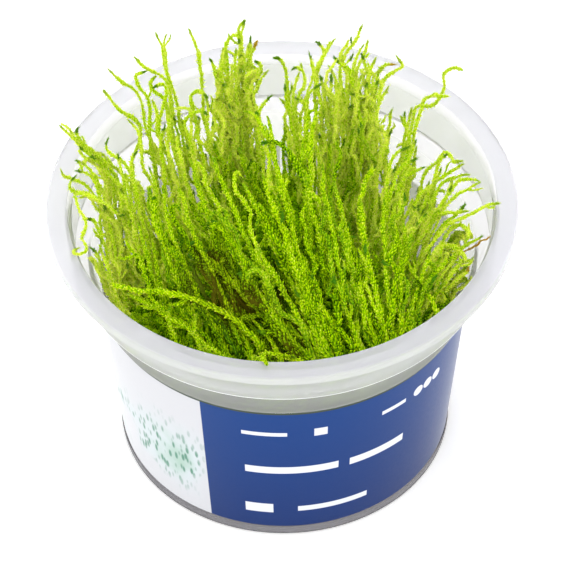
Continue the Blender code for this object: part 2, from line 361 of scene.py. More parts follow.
def finishOf(face, s):
    # which of the cup's finishes a face has, by its place
    middle = face.calc_center_median() / mm
    away = math.hypot(middle.x, middle.y)
    # painted highlight: the band round the collar's rounded lower edge takes the bright, nearly opaque edge
    # finish
    if away > s["collarRadius"] - 0.55 and 53.6 < middle.z < 54.4:
        return "cupEdgePaintedHighlight"
    # painted shade: the flange's top takes a darker, bluer finish because it faces the lamps
    if middle.z > s["height"] - s["flange"] and away > s["mouthRadius"] - 0.1:
        return "cupCollar" if away > s["rimRadius"] - 0.25 else "cupFlangePaintedShade"
    # painted shade: the foot band below takes a nearly black finish
    if middle.z < 53:
        return "cupFootPaintedShade" if middle.z < 2.5 and away > s["bodyBottomRadius"] - 0.2 else "cupBody"
    return "cupCollar" if away > s["collarRadius"] - 0.4 and middle.z < 63.5 else "cupWall"


def makeCup(s):
    bm = bmesh.new()
    points = [bm.verts.new((x * mm, 0, z * mm)) for x, z in cupProfile(s)]
    edges = [bm.edges.new((a, b)) for a, b in zip(points, points[1:])]
    bmesh.ops.spin(bm, geom=points + edges, cent=(0, 0, 0), axis=(0, 0, 1), dvec=(0, 0, 0),
                   angle=2 * math.pi, steps=s["steps"], use_merge=True, use_duplicate=False)
    bmesh.ops.remove_doubles(bm, verts=bm.verts, dist=0.01 * mm)
    bmesh.ops.recalc_face_normals(bm, faces=bm.faces)
    names = list(s["finishes"])
    for face in bm.faces:
        face.material_index = names.index(finishOf(face, s))
    finishes = [makeCupMaterial(s, name, *s["finishes"][name]) for name in names]
    piece = finishPiece(bm, "cup_shell", finishes[0], ["cup"], smooth=38)
    for finish in finishes[1:]:
        piece.data.materials.append(finish)


makeCup(cupSettings)
print("cup made")


# Printed sleeve

printSettings = {
    "blue": (0.001, 0.044, 0.220), "deepBlue": (0.001, 0.026, 0.15), "panel": (0.65, 0.655, 0.685),
    "ink": (0.80, 0.83, 0.90), "seam": -26.5, "blueEnd": 150,
    "wash": [(0.62, (0.62, 0.69, 0.71)), (0.75, (0.42, 0.58, 0.50))],  # soft tints on the pale panel
    "washScale": 55, "washLow": (5, 14), "washHigh": (34, 22),
    "dab": (0.10, 0.27, 0.19), "dabScale": 900, "dabStretch": (1, 1, 0.33), "dabShare": 0.95,
    # painted shadow: a dark line just under the sleeve's top edge, where the step in the wall above casts
    # shade
    "topShadowLine": (0.05, 0.07, 0.05), "topShadowLineAt": (43.25, 43.45),
    "bars": [  # angle and height of the middle, half width in degrees, half height in mm
        (-6.5, 36.4, 7.0, 0.55), (11, 36.6, 2.0, 1.2), (36, 36.2, 4.5, 0.55),
        (2, 23.5, 15.0, 1.1), (31, 23.3, 10.0, 1.1), (-9, 9.4, 4.6, 1.5), (16, 9.2, 12.0, 0.8),
    ],
    "dots": [(46, 36.3, 1.35), (50.5, 36.3, 1.35), (55, 36.3, 1.35)],  # angle, height and radius
    "dotRow": 0.69,        # mm to a degree round the sleeve at the dots' height
}
# painted light: the backing glows, standing in for daylight through the thin film
backSettings = {"dim": 0.84, "light": 0.88, "glow": 0.4}  # the glow is daylight through the thin film


def farFrom(tree, value, centre):
    return sums(tree, "ABSOLUTE", sums(tree, "SUBTRACT", value, float(centre)))


def makeInk(tree, angle, height, s):
    # plain bars and dots, 1 where there is ink
    ink = None
    for centre, level, wide, tall in s["bars"]:
        across = step(tree, farFrom(tree, angle, centre), wide + 0.15, wide)
        up = step(tree, farFrom(tree, height, level), tall + 0.12, tall)
        mark = times(tree, across, up)
        ink = mark if ink is None else sums(tree, "MAXIMUM", ink, mark)
    for centre, level, radius in s["dots"]:
        across = times(tree, sums(tree, "SUBTRACT", angle, float(centre)), s["dotRow"])
        up = sums(tree, "SUBTRACT", height, float(level))
        square = sums(tree, "ADD", times(tree, across, across), times(tree, up, up))
        ink = sums(tree, "MAXIMUM", ink, step(tree, sums(tree, "SQRT", square), radius + 0.12, radius))
    return ink


def makePanel(tree, place, height, s):
    # a pale ground with a soft wash and small loose dabs in a band across its middle
    soft = addNode(tree, "ShaderNodeTexNoise")
    soft.inputs["Scale"].default_value = s["washScale"]
    soft.inputs["Detail"].default_value = 4
    plug(tree, soft.inputs["Vector"], place)
    wash = ramp(tree, soft.outputs["Fac"], [(0.45, s["panel"])] + s["wash"])
    band = times(tree, step(tree, height, *s["washHigh"]), step(tree, height, *s["washLow"]))
    panel = blendColour(tree, band, (*s["panel"], 1), wash)
    tall = addNode(tree, "ShaderNodeVectorMath", operation="MULTIPLY")
    plug(tree, tall.inputs[0], place)
    tall.inputs[1].default_value = s["dabStretch"]
    cells = addNode(tree, "ShaderNodeTexVoronoi")
    cells.inputs["Scale"].default_value = s["dabScale"]
    plug(tree, cells.inputs["Vector"], tall.outputs[0])
    near = step(tree, cells.outputs["Distance"], 0.46, 0.25)
    dense = step(tree, soft.outputs["Fac"], 0.5, 0.6)
    dabs = times(tree, times(tree, near, dense), times(tree, band, s["dabShare"]))
    return blendColour(tree, dabs, panel, (*s["dab"], 1))


def makeLabelMaterial(s):
    # blue field, pale panel, plain bars and dots where the print is
    material, tree, shader, place = newMaterial("sleevePrint", {
        "Specular IOR Level": 0.14, "Sheen Weight": 0.5, "Sheen Roughness": 0.25})
    grain = useGroup(tree, grainGroup, Place=place, Fine=1500.0, Cloud=35.0)
    split = addNode(tree, "ShaderNodeSeparateXYZ")
    plug(tree, split.inputs[0], place)
    x, y, z = split.outputs
    angle = times(tree, sums(tree, "ARCTAN2", x, times(tree, y, -1.0)), 180 / math.pi)
    height = sums(tree, "DIVIDE", z, mm)
    blue = ramp(tree, step(tree, height, labelSettings["bottom"], labelSettings["top"]),
                [(0, s["deepBlue"]), (1, s["blue"])])
    field = blendColour(tree, makeInk(tree, angle, height, s), blue, (*s["ink"], 1))
    panel = makePanel(tree, place, height, s)
    onPanel = sums(tree, "ADD", step(tree, angle, s["seam"] + 0.1, s["seam"] - 0.1),
                   step(tree, angle, s["blueEnd"] - 0.1, s["blueEnd"] + 0.1))
    colour = blendColour(tree, onPanel, field, panel)
    # painted shadow line along the sleeve's top edge
    colour = blendColour(tree, step(tree, height, *s["topShadowLineAt"]), colour, (*s["topShadowLine"], 1))
    plug(tree, shader.inputs["Base Color"], colour)
    plug(tree, shader.inputs["Roughness"], sums(tree, "MULTIPLY_ADD", grain["Fine"], 0.15, 0.33))
    plug(tree, shader.inputs["Normal"], bumpFrom(tree, grain["Cloud"], 0.15, 0.3))
    return material


def makeBacking(s):
    # the unprinted inner side of the sleeve, which glows as painted light
    material, tree, shader, place = newMaterial("sleeveBacking", {
        "Emission Color": (1, 1, 1, 1), "Emission Strength": s["glow"]})
    grain = useGroup(tree, grainGroup, Place=place, Fine=1500.0, Cloud=35.0)
    dim, light = s["dim"], s["light"]
    cloudy = blendColour(tree, grain["Cloud"], (dim, dim, dim + 0.01, 1), (light, light, light + 0.01, 1))
    plug(tree, shader.inputs["Base Color"], cloudy)
    plug(tree, shader.inputs["Roughness"], sums(tree, "MULTIPLY_ADD", grain["Fine"], 0.15, 0.43))
    return material


def makeLabel(s, material, backing):
    bm = bmesh.new()
    turn = Matrix.Rotation(math.radians(90 + s["slit"] / 2), 3, "Z")
    high, low, thick = (s["topRadius"], s["top"]), (s["bottomRadius"], s["bottom"]), s["thickness"]
    corners = [high, low, (low[0] - thick, low[1]), (high[0] - thick, high[1])]
    points = [bm.verts.new(turn @ Vector((x * mm, 0, z * mm))) for x, z in corners]
    edges = [bm.edges.new((a, b)) for a, b in zip(points, points[1:] + points[:1])]
    made = bmesh.ops.spin(bm, geom=points + edges, cent=(0, 0, 0), axis=(0, 0, 1), dvec=(0, 0, 0),
                          angle=math.radians(360 - s["slit"]), steps=s["steps"],
                          use_merge=False, use_duplicate=False)["geom_last"]
    bmesh.ops.edgeloop_fill(bm, edges=edges)
    bmesh.ops.edgeloop_fill(bm, edges=[item for item in made if isinstance(item, bmesh.types.BMEdge)])
    bmesh.ops.recalc_face_normals(bm, faces=bm.faces)
    for face in bm.faces:
        middle = face.calc_center_median() / mm
        inner = math.hypot(middle.x, middle.y) < labelRadius(middle.z) - s["thickness"] / 2
        face.material_index = int(inner)
    piece = finishPiece(bm, "sleeve", material, ["label"], smooth=30)
    piece.data.materials.append(backing)


makeLabel(labelSettings, makeLabelMaterial(printSettings), makeBacking(backSettings))
print("sleeve made")


# Moss material

mossSettings = {
    "ramp": [(0.0, (0.020, 0.050, 0.001)), (0.3, (0.14, 0.325, 0.001)), (0.55, (0.38, 0.66, 0.001)),
             (0.8, (0.62, 0.84, 0.005)), (1.0, (0.84, 0.92, 0.12))],
    "bud": (0.05, 0.19, 0.008), "warm": (0.45, 0.26, 0.02),
    # the leaf points are lighter than the stem: partly the leaves' own paler points, partly painted
    # highlight
    "mottle": 0.6, "leaf": 0.72, "stem": 0.26,  # how far the mottle, the leaf points and the stem go
    "rootDark": 0.12, "rootEnd": (0.1, 0.6),    # the lower shoot is darker
    "beads": 2300, "bump": 0.35, "glow": (0.8, 1.0, 0.15), "glowDepth": 0.4,
}


def makeMossGroup(s):
    # shade is the shoot's own tone with the tuft's painted light and shade and the hollows' painted shade
    # in it, along runs from root to tip, leaf is 1 at a leaf's point
    group, given, asked = newGroup(
        "mossTone",
        [(label, "NodeSocketFloat", 0.5) for label in ("Shade", "Along", "Leaf", "Bud", "Warm", "Mottle")],
        [("Color", "NodeSocketColor")])
    level = sums(group, "MULTIPLY_ADD", given["Mottle"], s["mottle"], -s["mottle"] / 2)
    level = sums(group, "ADD", level, given["Shade"])
    # leaf points lighter than the stem: partly their own paler tone, partly painted highlight
    level = sums(group, "MULTIPLY_ADD", given["Leaf"], s["leaf"], sums(group, "SUBTRACT", level, s["stem"]))
    rootward = sums(group, "SUBTRACT", 1.0, step(group, given["Along"], *s["rootEnd"]))
    level = sums(group, "MULTIPLY_ADD", rootward, -s["rootDark"], level)
    colour = ramp(group, level, s["ramp"])
    colour = blendColour(group, given["Bud"], colour, (*s["bud"], 1))
    colour = blendColour(group, given["Warm"], colour, (*s["warm"], 1))
    plug(group, asked["Color"], colour)
    return group


mossGroup = makeMossGroup(mossSettings)


def makeMossMaterial(name, roughness, s):
    material, tree, shader, place = newMaterial(name, {
        "Specular IOR Level": 0.0, "Subsurface Weight": 0.3, "Subsurface Radius": s["glow"],
        "Subsurface Scale": s["glowDepth"] * mm})
    grain = useGroup(tree, grainGroup, Place=place, Fine=3200.0, Cloud=260.0)
    cells = addNode(tree, "ShaderNodeTexVoronoi")
    cells.inputs["Scale"].default_value = s["beads"]
    plug(tree, cells.inputs["Vector"], place)
    bead = sums(tree, "SUBTRACT", 1.0, step(tree, cells.outputs["Distance"], 0.1, 0.75))
    mottle = sums(tree, "MULTIPLY_ADD", bead, 0.65, times(tree, grain["Cloud"], 0.55))
    marks = {}
    for label in ("shade", "along", "leaf", "bud", "warm"):
        mark = addNode(tree, "ShaderNodeAttribute", attribute_name=label)
        marks[label.capitalize()] = mark.outputs["Fac"]
    plug(tree, shader.inputs["Base Color"], useGroup(tree, mossGroup, Mottle=mottle, **marks)["Color"])
    plug(tree, shader.inputs["Roughness"], sums(tree, "MULTIPLY_ADD", grain["Fine"], 0.2, roughness - 0.1))
    plug(tree, shader.inputs["Normal"], bumpFrom(tree, bead, s["bump"], 0.15))
    return material


# Moss shoots

shootSettings = {
    "sides": 5,            # leaves round the stem
    "row": 0.64,           # mm from one turn of leaves to the next
    "stem": 0.55,          # stem radius as a share of the shoot's half width
    "reach": 1.12,         # how far the leaf points stand out, as a share of the half width
    "rise": 0.75,          # how far they point up the stem, in rows
    "scatter": 0.22,       # unevenness of the leaf points
    "wave": 0.6,           # mm that a shoot wanders from its path
    "rootHeight": 43,      # where the shoots come out of the dense mass
    "rootTone": 0.6,       # how far up a shoot the dense mass and the short twigs take their tone
    # painted shade in the recesses between the front shoots
    "paintedShadeHollows": [           # dark places between the front shoots: low end, high end, radius, depth
        ((-16.7, -5, 50), (-16.5, -26, 70), 5.0, 0.42), ((-11, -12, 50), (-11, -33, 70), 5.0, 0.42),
        ((-14, 0, 50), (-14, -19, 70), 3.5, 0.35), ((-6.5, -13, 50), (-6.5, -33, 70), 4.0, 0.35),
        ((1, -27, 50), (1, -45, 70), 4.5, 0.4), ((0, -10, 50), (0, -30, 70), 3.5, 0.25)],
    "heart": (4, -10),     # the shoots lean in towards here at their roots
    "lean": 0.45,          # how far they lean at the most
    "ownLean": {"back": 0.08},  # for tufts that lean less
    "curl": (1.5, 4.5),    # mm of curled tip on a following shoot
    "curled": 0.45,        # share of them that are curled
    "cut": (0.74, 0.98),   # their length as a share of the leading shoot's
    "leader": (0.7, 0.38, 0.2, 0.34),  # its tone: share and most of the shade, least and drop of the lift
    "follower": (0.35, 0.16, 0.08),    # its tone: share of the shade, unevenness, least
    "green": (-0.6, 0.4),  # dark green tint, none below 0
    # painted light and shade: the back and side tufts are made lighter and the front tufts darker than
    # their shoots' own tone
    "paintedLightShade": {"left": 0.84, "back_left": 0.84, "back": 0.86, "back_right": 0.92, "right": 0.82,
             "front_right": 0.29, "front": 0.17, "front_left": 0.22, "centre": 0.36},
    "crowd": {"left": 0.6, "back_left": 0.62, "back": 0.8, "back_right": 0.65, "right": 0.72,
              "front_right": 0.8, "front": 0.6, "front_left": 0.65, "centre": 0.75},
    "twigs": 1.1,          # side shoots to a shoot
}
pathStep = 0.4             # mm between the points of a path
pathSoft = 1.1             # mm by which its corners are rounded
fullTurn = 6.28            # radians

# each path: followers, their spread in mm, width in mm, shade, kind of tip, points from root to tip
shootPaths = {
    "left": [
        (3, 2, 0.95, 0.55, "bud", (-35.2, -1.8, 50.8), (-36.7, 5.9, 64.3), (-38.3, 8.1, 68.7),
         (-40.9, 9.3, 73), (-46.5, 9.2, 80)),
        (3, 2, 0.95, 0.5, "bud", (-33.9, -2, 52.5), (-36, 6.5, 66.7), (-38.4, 8.5, 71.4), (-44, 8.5, 78),
         (-44.3, 9, 79)),
        (3, 2, 0.95, 0.45, "dark", (-33, -1.5, 53.5), (-34, 3.9, 61.7), (-35.6, 7.3, 67.3),
         (-37.8, 8.8, 71), (-43, 8.9, 77), (-43.6, 9.6, 78.3), (-42.9, 9.5, 79)),
        (3, 2, 0.95, 0.5, "bud", (-34.5, -8, 55.7), (-35.9, -2.6, 63.9), (-37.5, 0.6, 69),
         (-40.6, 2.7, 74.2), (-42.1, 3, 76)),
        (2, 2, 0.95, 0.4, "dark", (-34.8, -9.9, 56.3), (-36.5, -3.6, 64.3), (-39.5, 1.7, 71.6),
         (-40.9, 2.2, 73.3), (-42.9, 1.1, 75)),
        (1, 1.5, 0.85, 0.65, "bud", (-35.5, -8.9, 55.2), (-37.3, -2.4, 62.2), (-38.9, 1.1, 66.2),
         (-40.9, 2.5, 68.8), (-42.9, 2.5, 70.6), (-46.3, 1.5, 73.3), (-46.3, 2.1, 74)),
        (1, 1.2, 0.95, 0.4, "dark", (-34.7, -10.6, 58.5), (-36.7, -3.2, 64.5), (-38.2, 0.1, 67.2),
         (-40, 0.3, 68.6), (-44.4, -1.5, 71.5), (-45, -0.8, 72.2), (-44.6, 0.1, 73), (-43.3, 0.4, 74)),
        (0, 1, 0.76, 0.6, "bud", (-39.7, -3.4, 72), (-43.8, -1.8, 71.2), (-40.8, -8.8, 69.8),
         (-41.7, -12.7, 69.1), (-42.5, -13.4, 68.9), (-41.5, -13.3, 68.7), (-40.5, -14.4, 68.4),
         (-40.4, -15.7, 68.1), (-41.7, -16.3, 67.8), (-43.2, -15.8, 67.5), (-44, -14.8, 67.3),
         (-43.5, -13.6, 67.1), (-42.8, -13.6, 67)),
        (2, 1.5, 0.95, 0.4, "dark", (-30.5, -9.5, 64.9), (-34.2, 1.5, 79)),
        (0, 1, 0.85, 0.45, "dark", (-27.8, -6.8, 65), (-29.8, -1.8, 70.5), (-31.8, 1.3, 74.2),
         (-33.4, 2.8, 76.4), (-36.4, 2.8, 79), (-36.9, 4.1, 80.4), (-36.3, 4.2, 81)),
        (1, 1.5, 0.95, 0.4, "dark", (-28.8, -7.7, 66), (-31.2, -1.8, 76.4), (-31.4, -0.5, 78.7),
         (-30.9, 0.2, 80), (-30, 0.3, 81)),
        (2, 2, 0.95, 0.4, "dark", (-24.5, -11.6, 67), (-27.3, -3.3, 80)),
        (6, 3.5, 0.95, 0.55, "bud", (-30.4, -12.3, 49.4), (-32.3, -8.7, 58), (-33.7, -2.9, 71.7),
         (-34.6, -1.3, 76)),
        (6, 3.5, 0.95, 0.5, "bud", (-27.3, -13.3, 47.3), (-29.5, -9.6, 57.3), (-32.4, -2.3, 77)),
        (0, 1, 0.95, 0.4, "dark", (-37.3, -9.5, 62), (-38.9, -6.2, 67), (-39.9, -6, 68.1),
         (-40.8, -7.2, 69)),
        (3, 2, 0.95, 0.5, "dark", (-35.8, -20.2, 58), (-38.7, -13.9, 66), (-39.7, -13.7, 67)),
        (3, 2, 0.95, 0.55, "bud", (-33, -25, 57), (-38, -14.4, 68)),
        (3, 2.4, 1.0, 0.5, "bud", (-28, 7, 44), (-33, 10, 54), (-36, 13, 63)),
        (4, 3.4, 1.0, 0.5, "bud", (-25, 2, 44), (-29, 3, 56), (-32, 4, 68)),
        (3, 3.2, 1.0, 0.5, "bud", (-22, -3, 44), (-26, -1, 56), (-30, 0, 70)),
        (5, 3, 1.0, 0.5, "bud", (-30, -2, 44), (-34, -3, 54), (-37, -4, 64)),
        (7, 3, 1.0, 0.5, "bud", (-27, -8, 44), (-31, -10, 54), (-34, -12, 62)),
    ],
    "back_left": [
        (0, 1, 0.76, 0.8, "bud", (-21.8, 18.5, 63.5), (-24.9, 24.5, 88.8), (-26.2, 24.5, 92)),
        (0, 1, 0.76, 0.8, "bud", (-20.6, 17.7, 61.2), (-22.1, 20.7, 74.8), (-23.8, 22, 82.7),
         (-24.6, 23.6, 90.5), (-24, 23.7, 92)),
        (0, 1, 0.95, 0.6, "bud", (-22.1, 14.4, 66), (-23.2, 17.4, 72.1), (-23.8, 21.5, 80.2),
         (-24.5, 22.1, 81.8), (-28.4, 20.2, 86), (-30.5, 20.4, 89)),
        (0, 1, 0.76, 0.95, "bud", (-26.3, 13.9, 56), (-29.7, 20.7, 76.1), (-30.9, 21.1, 78.6),
         (-36.1, 19.9, 86)),
        (0, 1, 0.95, 0.4, "dark", (-26.7, 13.2, 56.6), (-27.9, 16.3, 65.8), (-28, 19.4, 75.3),
         (-28.6, 20.4, 78.5), (-30.7, 20.6, 82.5), (-30.7, 20.9, 83.7), (-28.6, 19.2, 86)),
        (0, 1, 1.14, 0.35, "bud", (-21.7, 10.5, 65.4), (-24.5, 16.5, 80.4), (-27, 16.3, 83.9),
         (-27.5, 16.7, 85.2), (-27.1, 17, 86.2), (-26.3, 16.5, 87)),
        (0, 1, 1.04, 0.35, "dark", (-24.6, 14.8, 82), (-23.8, 16.8, 83.3), (-24.3, 17.5, 83.8),
         (-25.3, 17.3, 84.3), (-26.3, 15.4, 85)),
        (0, 1, 1.14, 0.5, "bud", (-32.7, 10.5, 56.5), (-31.9, 12.8, 61.8), (-32, 14.4, 65.3),
         (-29.6, 16.5, 71.3), (-30, 17.2, 73), (-35.4, 15.8, 79.8), (-37, 16.5, 83)),
        (0, 1, 0.85, 0.5, "bud", (-29.7, 8, 77), (-30.1, 10.1, 77.9), (-32.1, 11.7, 79)),
        (2, 1.6, 0.95, 0.45, "bud", (-23.7, 6.8, 66.1), (-25.6, 9.4, 74.1), (-26, 12.1, 81.7),
         (-26.7, 12.8, 84)),
        (2, 1.6, 0.95, 0.5, "bud", (-21.1, 4.3, 68.6), (-22.8, 6.8, 75.1), (-23.8, 10.3, 84)),
        (1, 1.5, 0.95, 0.4, "dark", (-24.6, 3.2, 69.8), (-25.5, 6.6, 75.4), (-25.3, 8.1, 77.7),
         (-24.2, 9.2, 80)),
        (1, 1.5, 0.95, 0.45, "dark", (-20.6, 1.4, 76), (-22.2, 5.7, 79.1), (-21.8, 6.9, 80)),
        (0, 1, 0.85, 0.6, "bud", (-15.4, 19.7, 62.1), (-16.5, 21.7, 70.7), (-17.1, 25, 85.5),
         (-19.1, 25.7, 92)),
        (0, 1, 1.04, 0.35, "dark", (-16.2, 5.4, 70.4), (-18, 12.8, 78.9), (-19.3, 14.9, 81.6),
         (-19.1, 15.8, 82.7), (-17.6, 15.7, 84), (-16.3, 14.2, 84.9), (-15.4, 11.4, 86)),
        (1, 1.2, 0.95, 0.35, "dark", (-17.2, 2.5, 70.3), (-20.4, 10.5, 79.7), (-19.3, 11.1, 81),
         (-17.8, 11, 82.2), (-16.5, 10.4, 83.2), (-15.6, 8.5, 84)),
        (7, 2.5, 0.95, 0.5, "bud", (-12.2, 6, 60.6), (-15.4, 10, 77.7), (-15.6, 12, 86)),
        (5, 2.4, 1.0, 0.5, "bud", (-17, 22, 46), (-20, 26, 54), (-22, 29, 63)),
        (4, 2.4, 1.0, 0.5, "bud", (-22, 19, 46), (-26, 23, 54), (-29, 26, 62)),
        (5, 3, 1.0, 0.5, "bud", (-15, 14, 46), (-18, 17, 58), (-21, 19, 72)),
    ],
    "back": [
        (3, 1.5, 0.95, 0.6, "bud", (-4.4, 18.9, 47.4), (-6.8, 20.9, 60.7), (-7.5, 22.6, 71.2),
         (-8, 24.7, 86.9), (-8.8, 25.2, 92.7), (-7.6, 24.9, 95)),
        (2, 1.5, 0.95, 0.65, "dark", (-5.9, 18.6, 47.7), (-7.8, 20.6, 61.1), (-9, 23, 79.7),
         (-7.6, 24.6, 95)),
        (2, 1.5, 0.95, 0.45, "dark", (-9.1, 15.7, 50.7), (-10.6, 19.3, 62.4), (-11.4, 26.4, 86.5),
         (-10.7, 26.7, 88.3), (-9.7, 26.3, 89.7), (-8.8, 24.7, 90.7), (-8.6, 21.7, 92)),
        (1, 1.5, 0.95, 0.6, "dark", (-4.3, 16.1, 53.3), (-6.1, 19.9, 76.7), (-6.3, 22.1, 93)),
        (0, 1.5, 1.14, 0.7, "brown", (-4.3, 15.9, 56.6), (-5.2, 18.6, 69), (-7, 21.4, 84.1),
         (-6.8, 22, 87.1), (-4.6, 21.9, 92)),
        (0, 1, 1.04, 0.5, "dark", (-4.2, 12.8, 62.7), (-7.3, 20.1, 81.9), (-6.4, 20.4, 83.6),
         (-3.8, 19.1, 86.5), (-3.6, 19.4, 87.4), (-5, 18.8, 89)),
        (0, 1, 0.76, 0.6, "bud", (-2.1, 10.6, 64.9), (-5.9, 16, 82), (-2.8, 16.6, 88)),
        (5, 2, 0.95, 0.45, "dark", (-10.7, 13.8, 58.8), (-12.6, 18.5, 78.2), (-14.2, 20.5, 88.3),
         (-14.8, 19.8, 89)),
        (7, 2.5, 0.95, 0.5, "bud", (-9, 13.7, 55.8), (-11.2, 18, 77.2), (-12.7, 19.3, 86.2),
         (-11.3, 19.7, 91)),
        (6, 2.2, 0.95, 0.5, "bud", (-6.9, 13.2, 53.2), (-9.6, 18, 83), (-9.2, 19.2, 92)),
        (0, 1, 0.95, 0.45, "dark", (3.9, 12.4, 62.9), (1.8, 16.9, 78), (1.4, 19, 85.3), (0, 19.5, 88.9),
         (-1.1, 18.4, 90)),
        (3, 1.2, 0.95, 0.25, "dark", (3.3, 7.4, 74), (0.7, 13.4, 87)),
        (0, 1, 0.85, 0.4, "dark", (-4.1, 4.9, 76.7), (-4.8, 9, 82), (-4.3, 10.3, 83.7), (-2.3, 10.9, 86)),
        (0, 1, 0.95, 0.55, "dark", (3.9, 9.2, 72.2), (3.2, 12.8, 79), (3.5, 14.7, 82.5), (4.7, 15.2, 84.5),
         (5.3, 16.1, 86.3), (4.8, 16.7, 87.8), (3.7, 16.7, 89), (2.7, 15.2, 90)),
        (1, 1.5, 0.95, 0.5, "bud", (3.9, 8.8, 72.6), (2.6, 12.1, 81.2), (2.8, 13.8, 85.4),
         (3.9, 14.8, 89)),
        (0, 1, 0.95, 0.5, "dark", (5, 6.5, 74.9), (5.5, 12.2, 84.5), (6, 12.8, 85.7), (8.1, 12.5, 88)),
        (7, 2.6, 1.0, 0.5, "bud", (-9, 24, 46), (-12, 27, 56), (-14, 29, 66)),
        (2, 2, 1.0, 0.5, "bud", (4, 27, 46), (5, 30, 56), (6, 32, 65)),
        (6, 2.6, 1.0, 0.5, "bud", (-9, 22, 46), (-11, 25, 60), (-13, 27, 74)),
        (0, 2.2, 1.0, 0.5, "bud", (-3, 20, 46), (-4, 21, 56), (-5, 20, 66)),
    ],
    "back_right": [
        (0, 1, 1.04, 0.5, "dark", (7.2, 15, 66.3), (7.6, 20.8, 84.4), (9.7, 21.4, 89.4), (7.9, 21, 92)),
        (0, 1, 0.76, 0.65, "bud", (7.5, 17.6, 88), (8.6, 19.3, 89.3), (11.6, 21.9, 92)),
        (0, 1, 1.04, 0.4, "dark", (7.5, 14.9, 86), (6.7, 16.5, 88), (7.2, 17.5, 89.3), (6.3, 18.8, 91)),
        (3, 1.8, 0.95, 0.5, "dark", (10.3, 8.9, 72.4), (9.1, 14, 85), (8.2, 14.9, 88)),
        (0, 1, 1.14, 0.35, "dark", (7.7, 4.3, 74), (5.5, 10.8, 83.8), (3.2, 10.3, 86)),
        (0, 1, 0.85, 0.8, "bud", (13.7, 19, 62.3), (12.7, 24, 80.6), (13.8, 25, 85.5), (15.9, 24.5, 88.8),
         (17.4, 25, 93)),
        (3, 2, 0.95, 0.6, "bud", (15.8, 15.4, 65.8), (15.6, 18.6, 77.6), (16, 20, 83.5), (18.4, 21.4, 92)),
        (4, 2.5, 0.95, 0.5, "bud", (14.6, 13.9, 67.3), (15.1, 18.7, 84.8), (15.7, 19.5, 88.4),
         (17.2, 19.9, 92)),
        (0, 1, 1.42, 0.2, "dark", (16.7, 12.7, 77.4), (15.9, 16.2, 82.8), (14.7, 18.4, 86.3),
         (12.1, 18.3, 88.9), (11.4, 18.7, 90)),
        (3, 1.8, 0.95, 0.5, "bud", (13.5, 10.8, 67.4), (11.9, 16, 84.5), (11.3, 16.8, 87.5),
         (10.4, 16.8, 89)),
        (3, 2, 0.95, 0.45, "dark", (11.4, 9.5, 68.8), (10.3, 14.5, 84.6), (10.6, 15.5, 88)),
        (0, 1, 0.95, 0.5, "bud", (20, 13.6, 64.5), (20.2, 17.8, 73.8), (22, 21.2, 82), (26.1, 19.1, 86.6),
         (24.8, 19.6, 89)),
        (1, 1.5, 0.95, 0.35, "brown", (18.9, 11.5, 66.6), (19.3, 16, 77.1), (20.6, 19.2, 85.1),
         (22.5, 18.9, 87.5), (23.9, 17.5, 89)),
        (4, 2, 0.95, 0.4, "bud", (19.3, 12.2, 68.9), (18.4, 17.5, 85.9), (19.8, 18.2, 90)),
        (3, 2, 0.95, 0.4, "dark", (17.8, 13.3, 64.8), (18.5, 18.3, 84.3), (18.3, 18.9, 87.1),
         (17.2, 19.3, 90)),
        (1, 1.5, 0.95, 0.5, "bud", (18.7, 7.5, 67.6), (20, 12.7, 80.9), (22.5, 13.5, 86)),
        (6, 3, 0.95, 0.5, "bud", (14.6, 8.3, 57.8), (15.6, 13, 80.1), (16.3, 14.1, 86.3),
         (17.1, 14.3, 89)),
        (8, 4, 0.95, 0.5, "bud", (10.2, 6.4, 59.8), (12, 12.4, 88)),
        (2, 1.5, 0.95, 0.65, "bud", (19.6, -0.5, 63.6), (20.3, 3, 72.2), (22, 5.1, 78.6),
         (21.3, 5.6, 80.2), (20.1, 5.5, 82)),
        (4, 2, 0.95, 0.5, "bud", (22.6, 4.1, 58.9), (21.9, 6.7, 68.4), (20, 9.9, 81.5), (20.4, 10.2, 83),
         (19.7, 10.1, 84)),
        (6, 2.6, 1.0, 0.5, "bud", (14, 23, 46), (16, 27, 56), (17, 30, 65)),
        (4, 2.4, 1.0, 0.5, "bud", (19, 22, 46), (22, 25, 56), (24, 28, 65)),
        (5, 3, 1.0, 0.5, "bud", (10, 25, 46), (11, 28, 56), (11, 30, 66)),
        (4, 2.6, 1.0, 0.5, "bud", (17, 14, 46), (19, 18, 60), (20, 21, 76)),
        (1, 2.6, 1.0, 0.5, "bud", (22, 16, 46), (26, 20, 60), (28, 23, 70)),
    ],
    "right": [
        (0, 1, 0.95, 0.95, "plain", (25, 10.7, 50.5), (25.5, 15.5, 57.9), (28.8, 23.1, 71.1),
         (31.8, 19.8, 73.9), (32.8, 19.6, 75), (34.9, 21.1, 78.9), (34.5, 22.2, 80.9), (35.1, 22.5, 81.9),
         (37.4, 21.2, 84), (38.3, 19.7, 85)),
        (0, 1, 0.95, 0.9, "plain", (25.6, 4.8, 56.5), (26.1, 9.1, 62.8), (30.2, 18.6, 77.7),
         (32.2, 17.4, 79.6), (32.5, 17.8, 80.3), (33.6, 14.9, 81.7), (35, 13.8, 83)),
        (0, 1, 0.95, 0.4, "dark", (24.5, 0.6, 63.9), (25.4, 3.7, 69.8), (27, 6.6, 75.8), (26.7, 7.8, 77.9),
         (25.8, 8.4, 79.7), (25.9, 9.6, 82)),
        (0, 1, 0.95, 0.4, "dark", (24.7, -3.4, 69.6), (26.1, 2, 74.5), (28.1, 5.6, 78)),
        (1, 1.5, 0.95, 0.35, "dark", (21.5, -5.7, 72), (22.9, 1, 76.5), (24.6, 2.7, 78.1),
         (26.1, 2.7, 79)),
        (1, 1.5, 0.95, 0.3, "dark", (22.5, -5.8, 72), (24.1, -0.8, 75.3), (25.4, 0.4, 76.4),
         (28.1, 0.5, 78)),
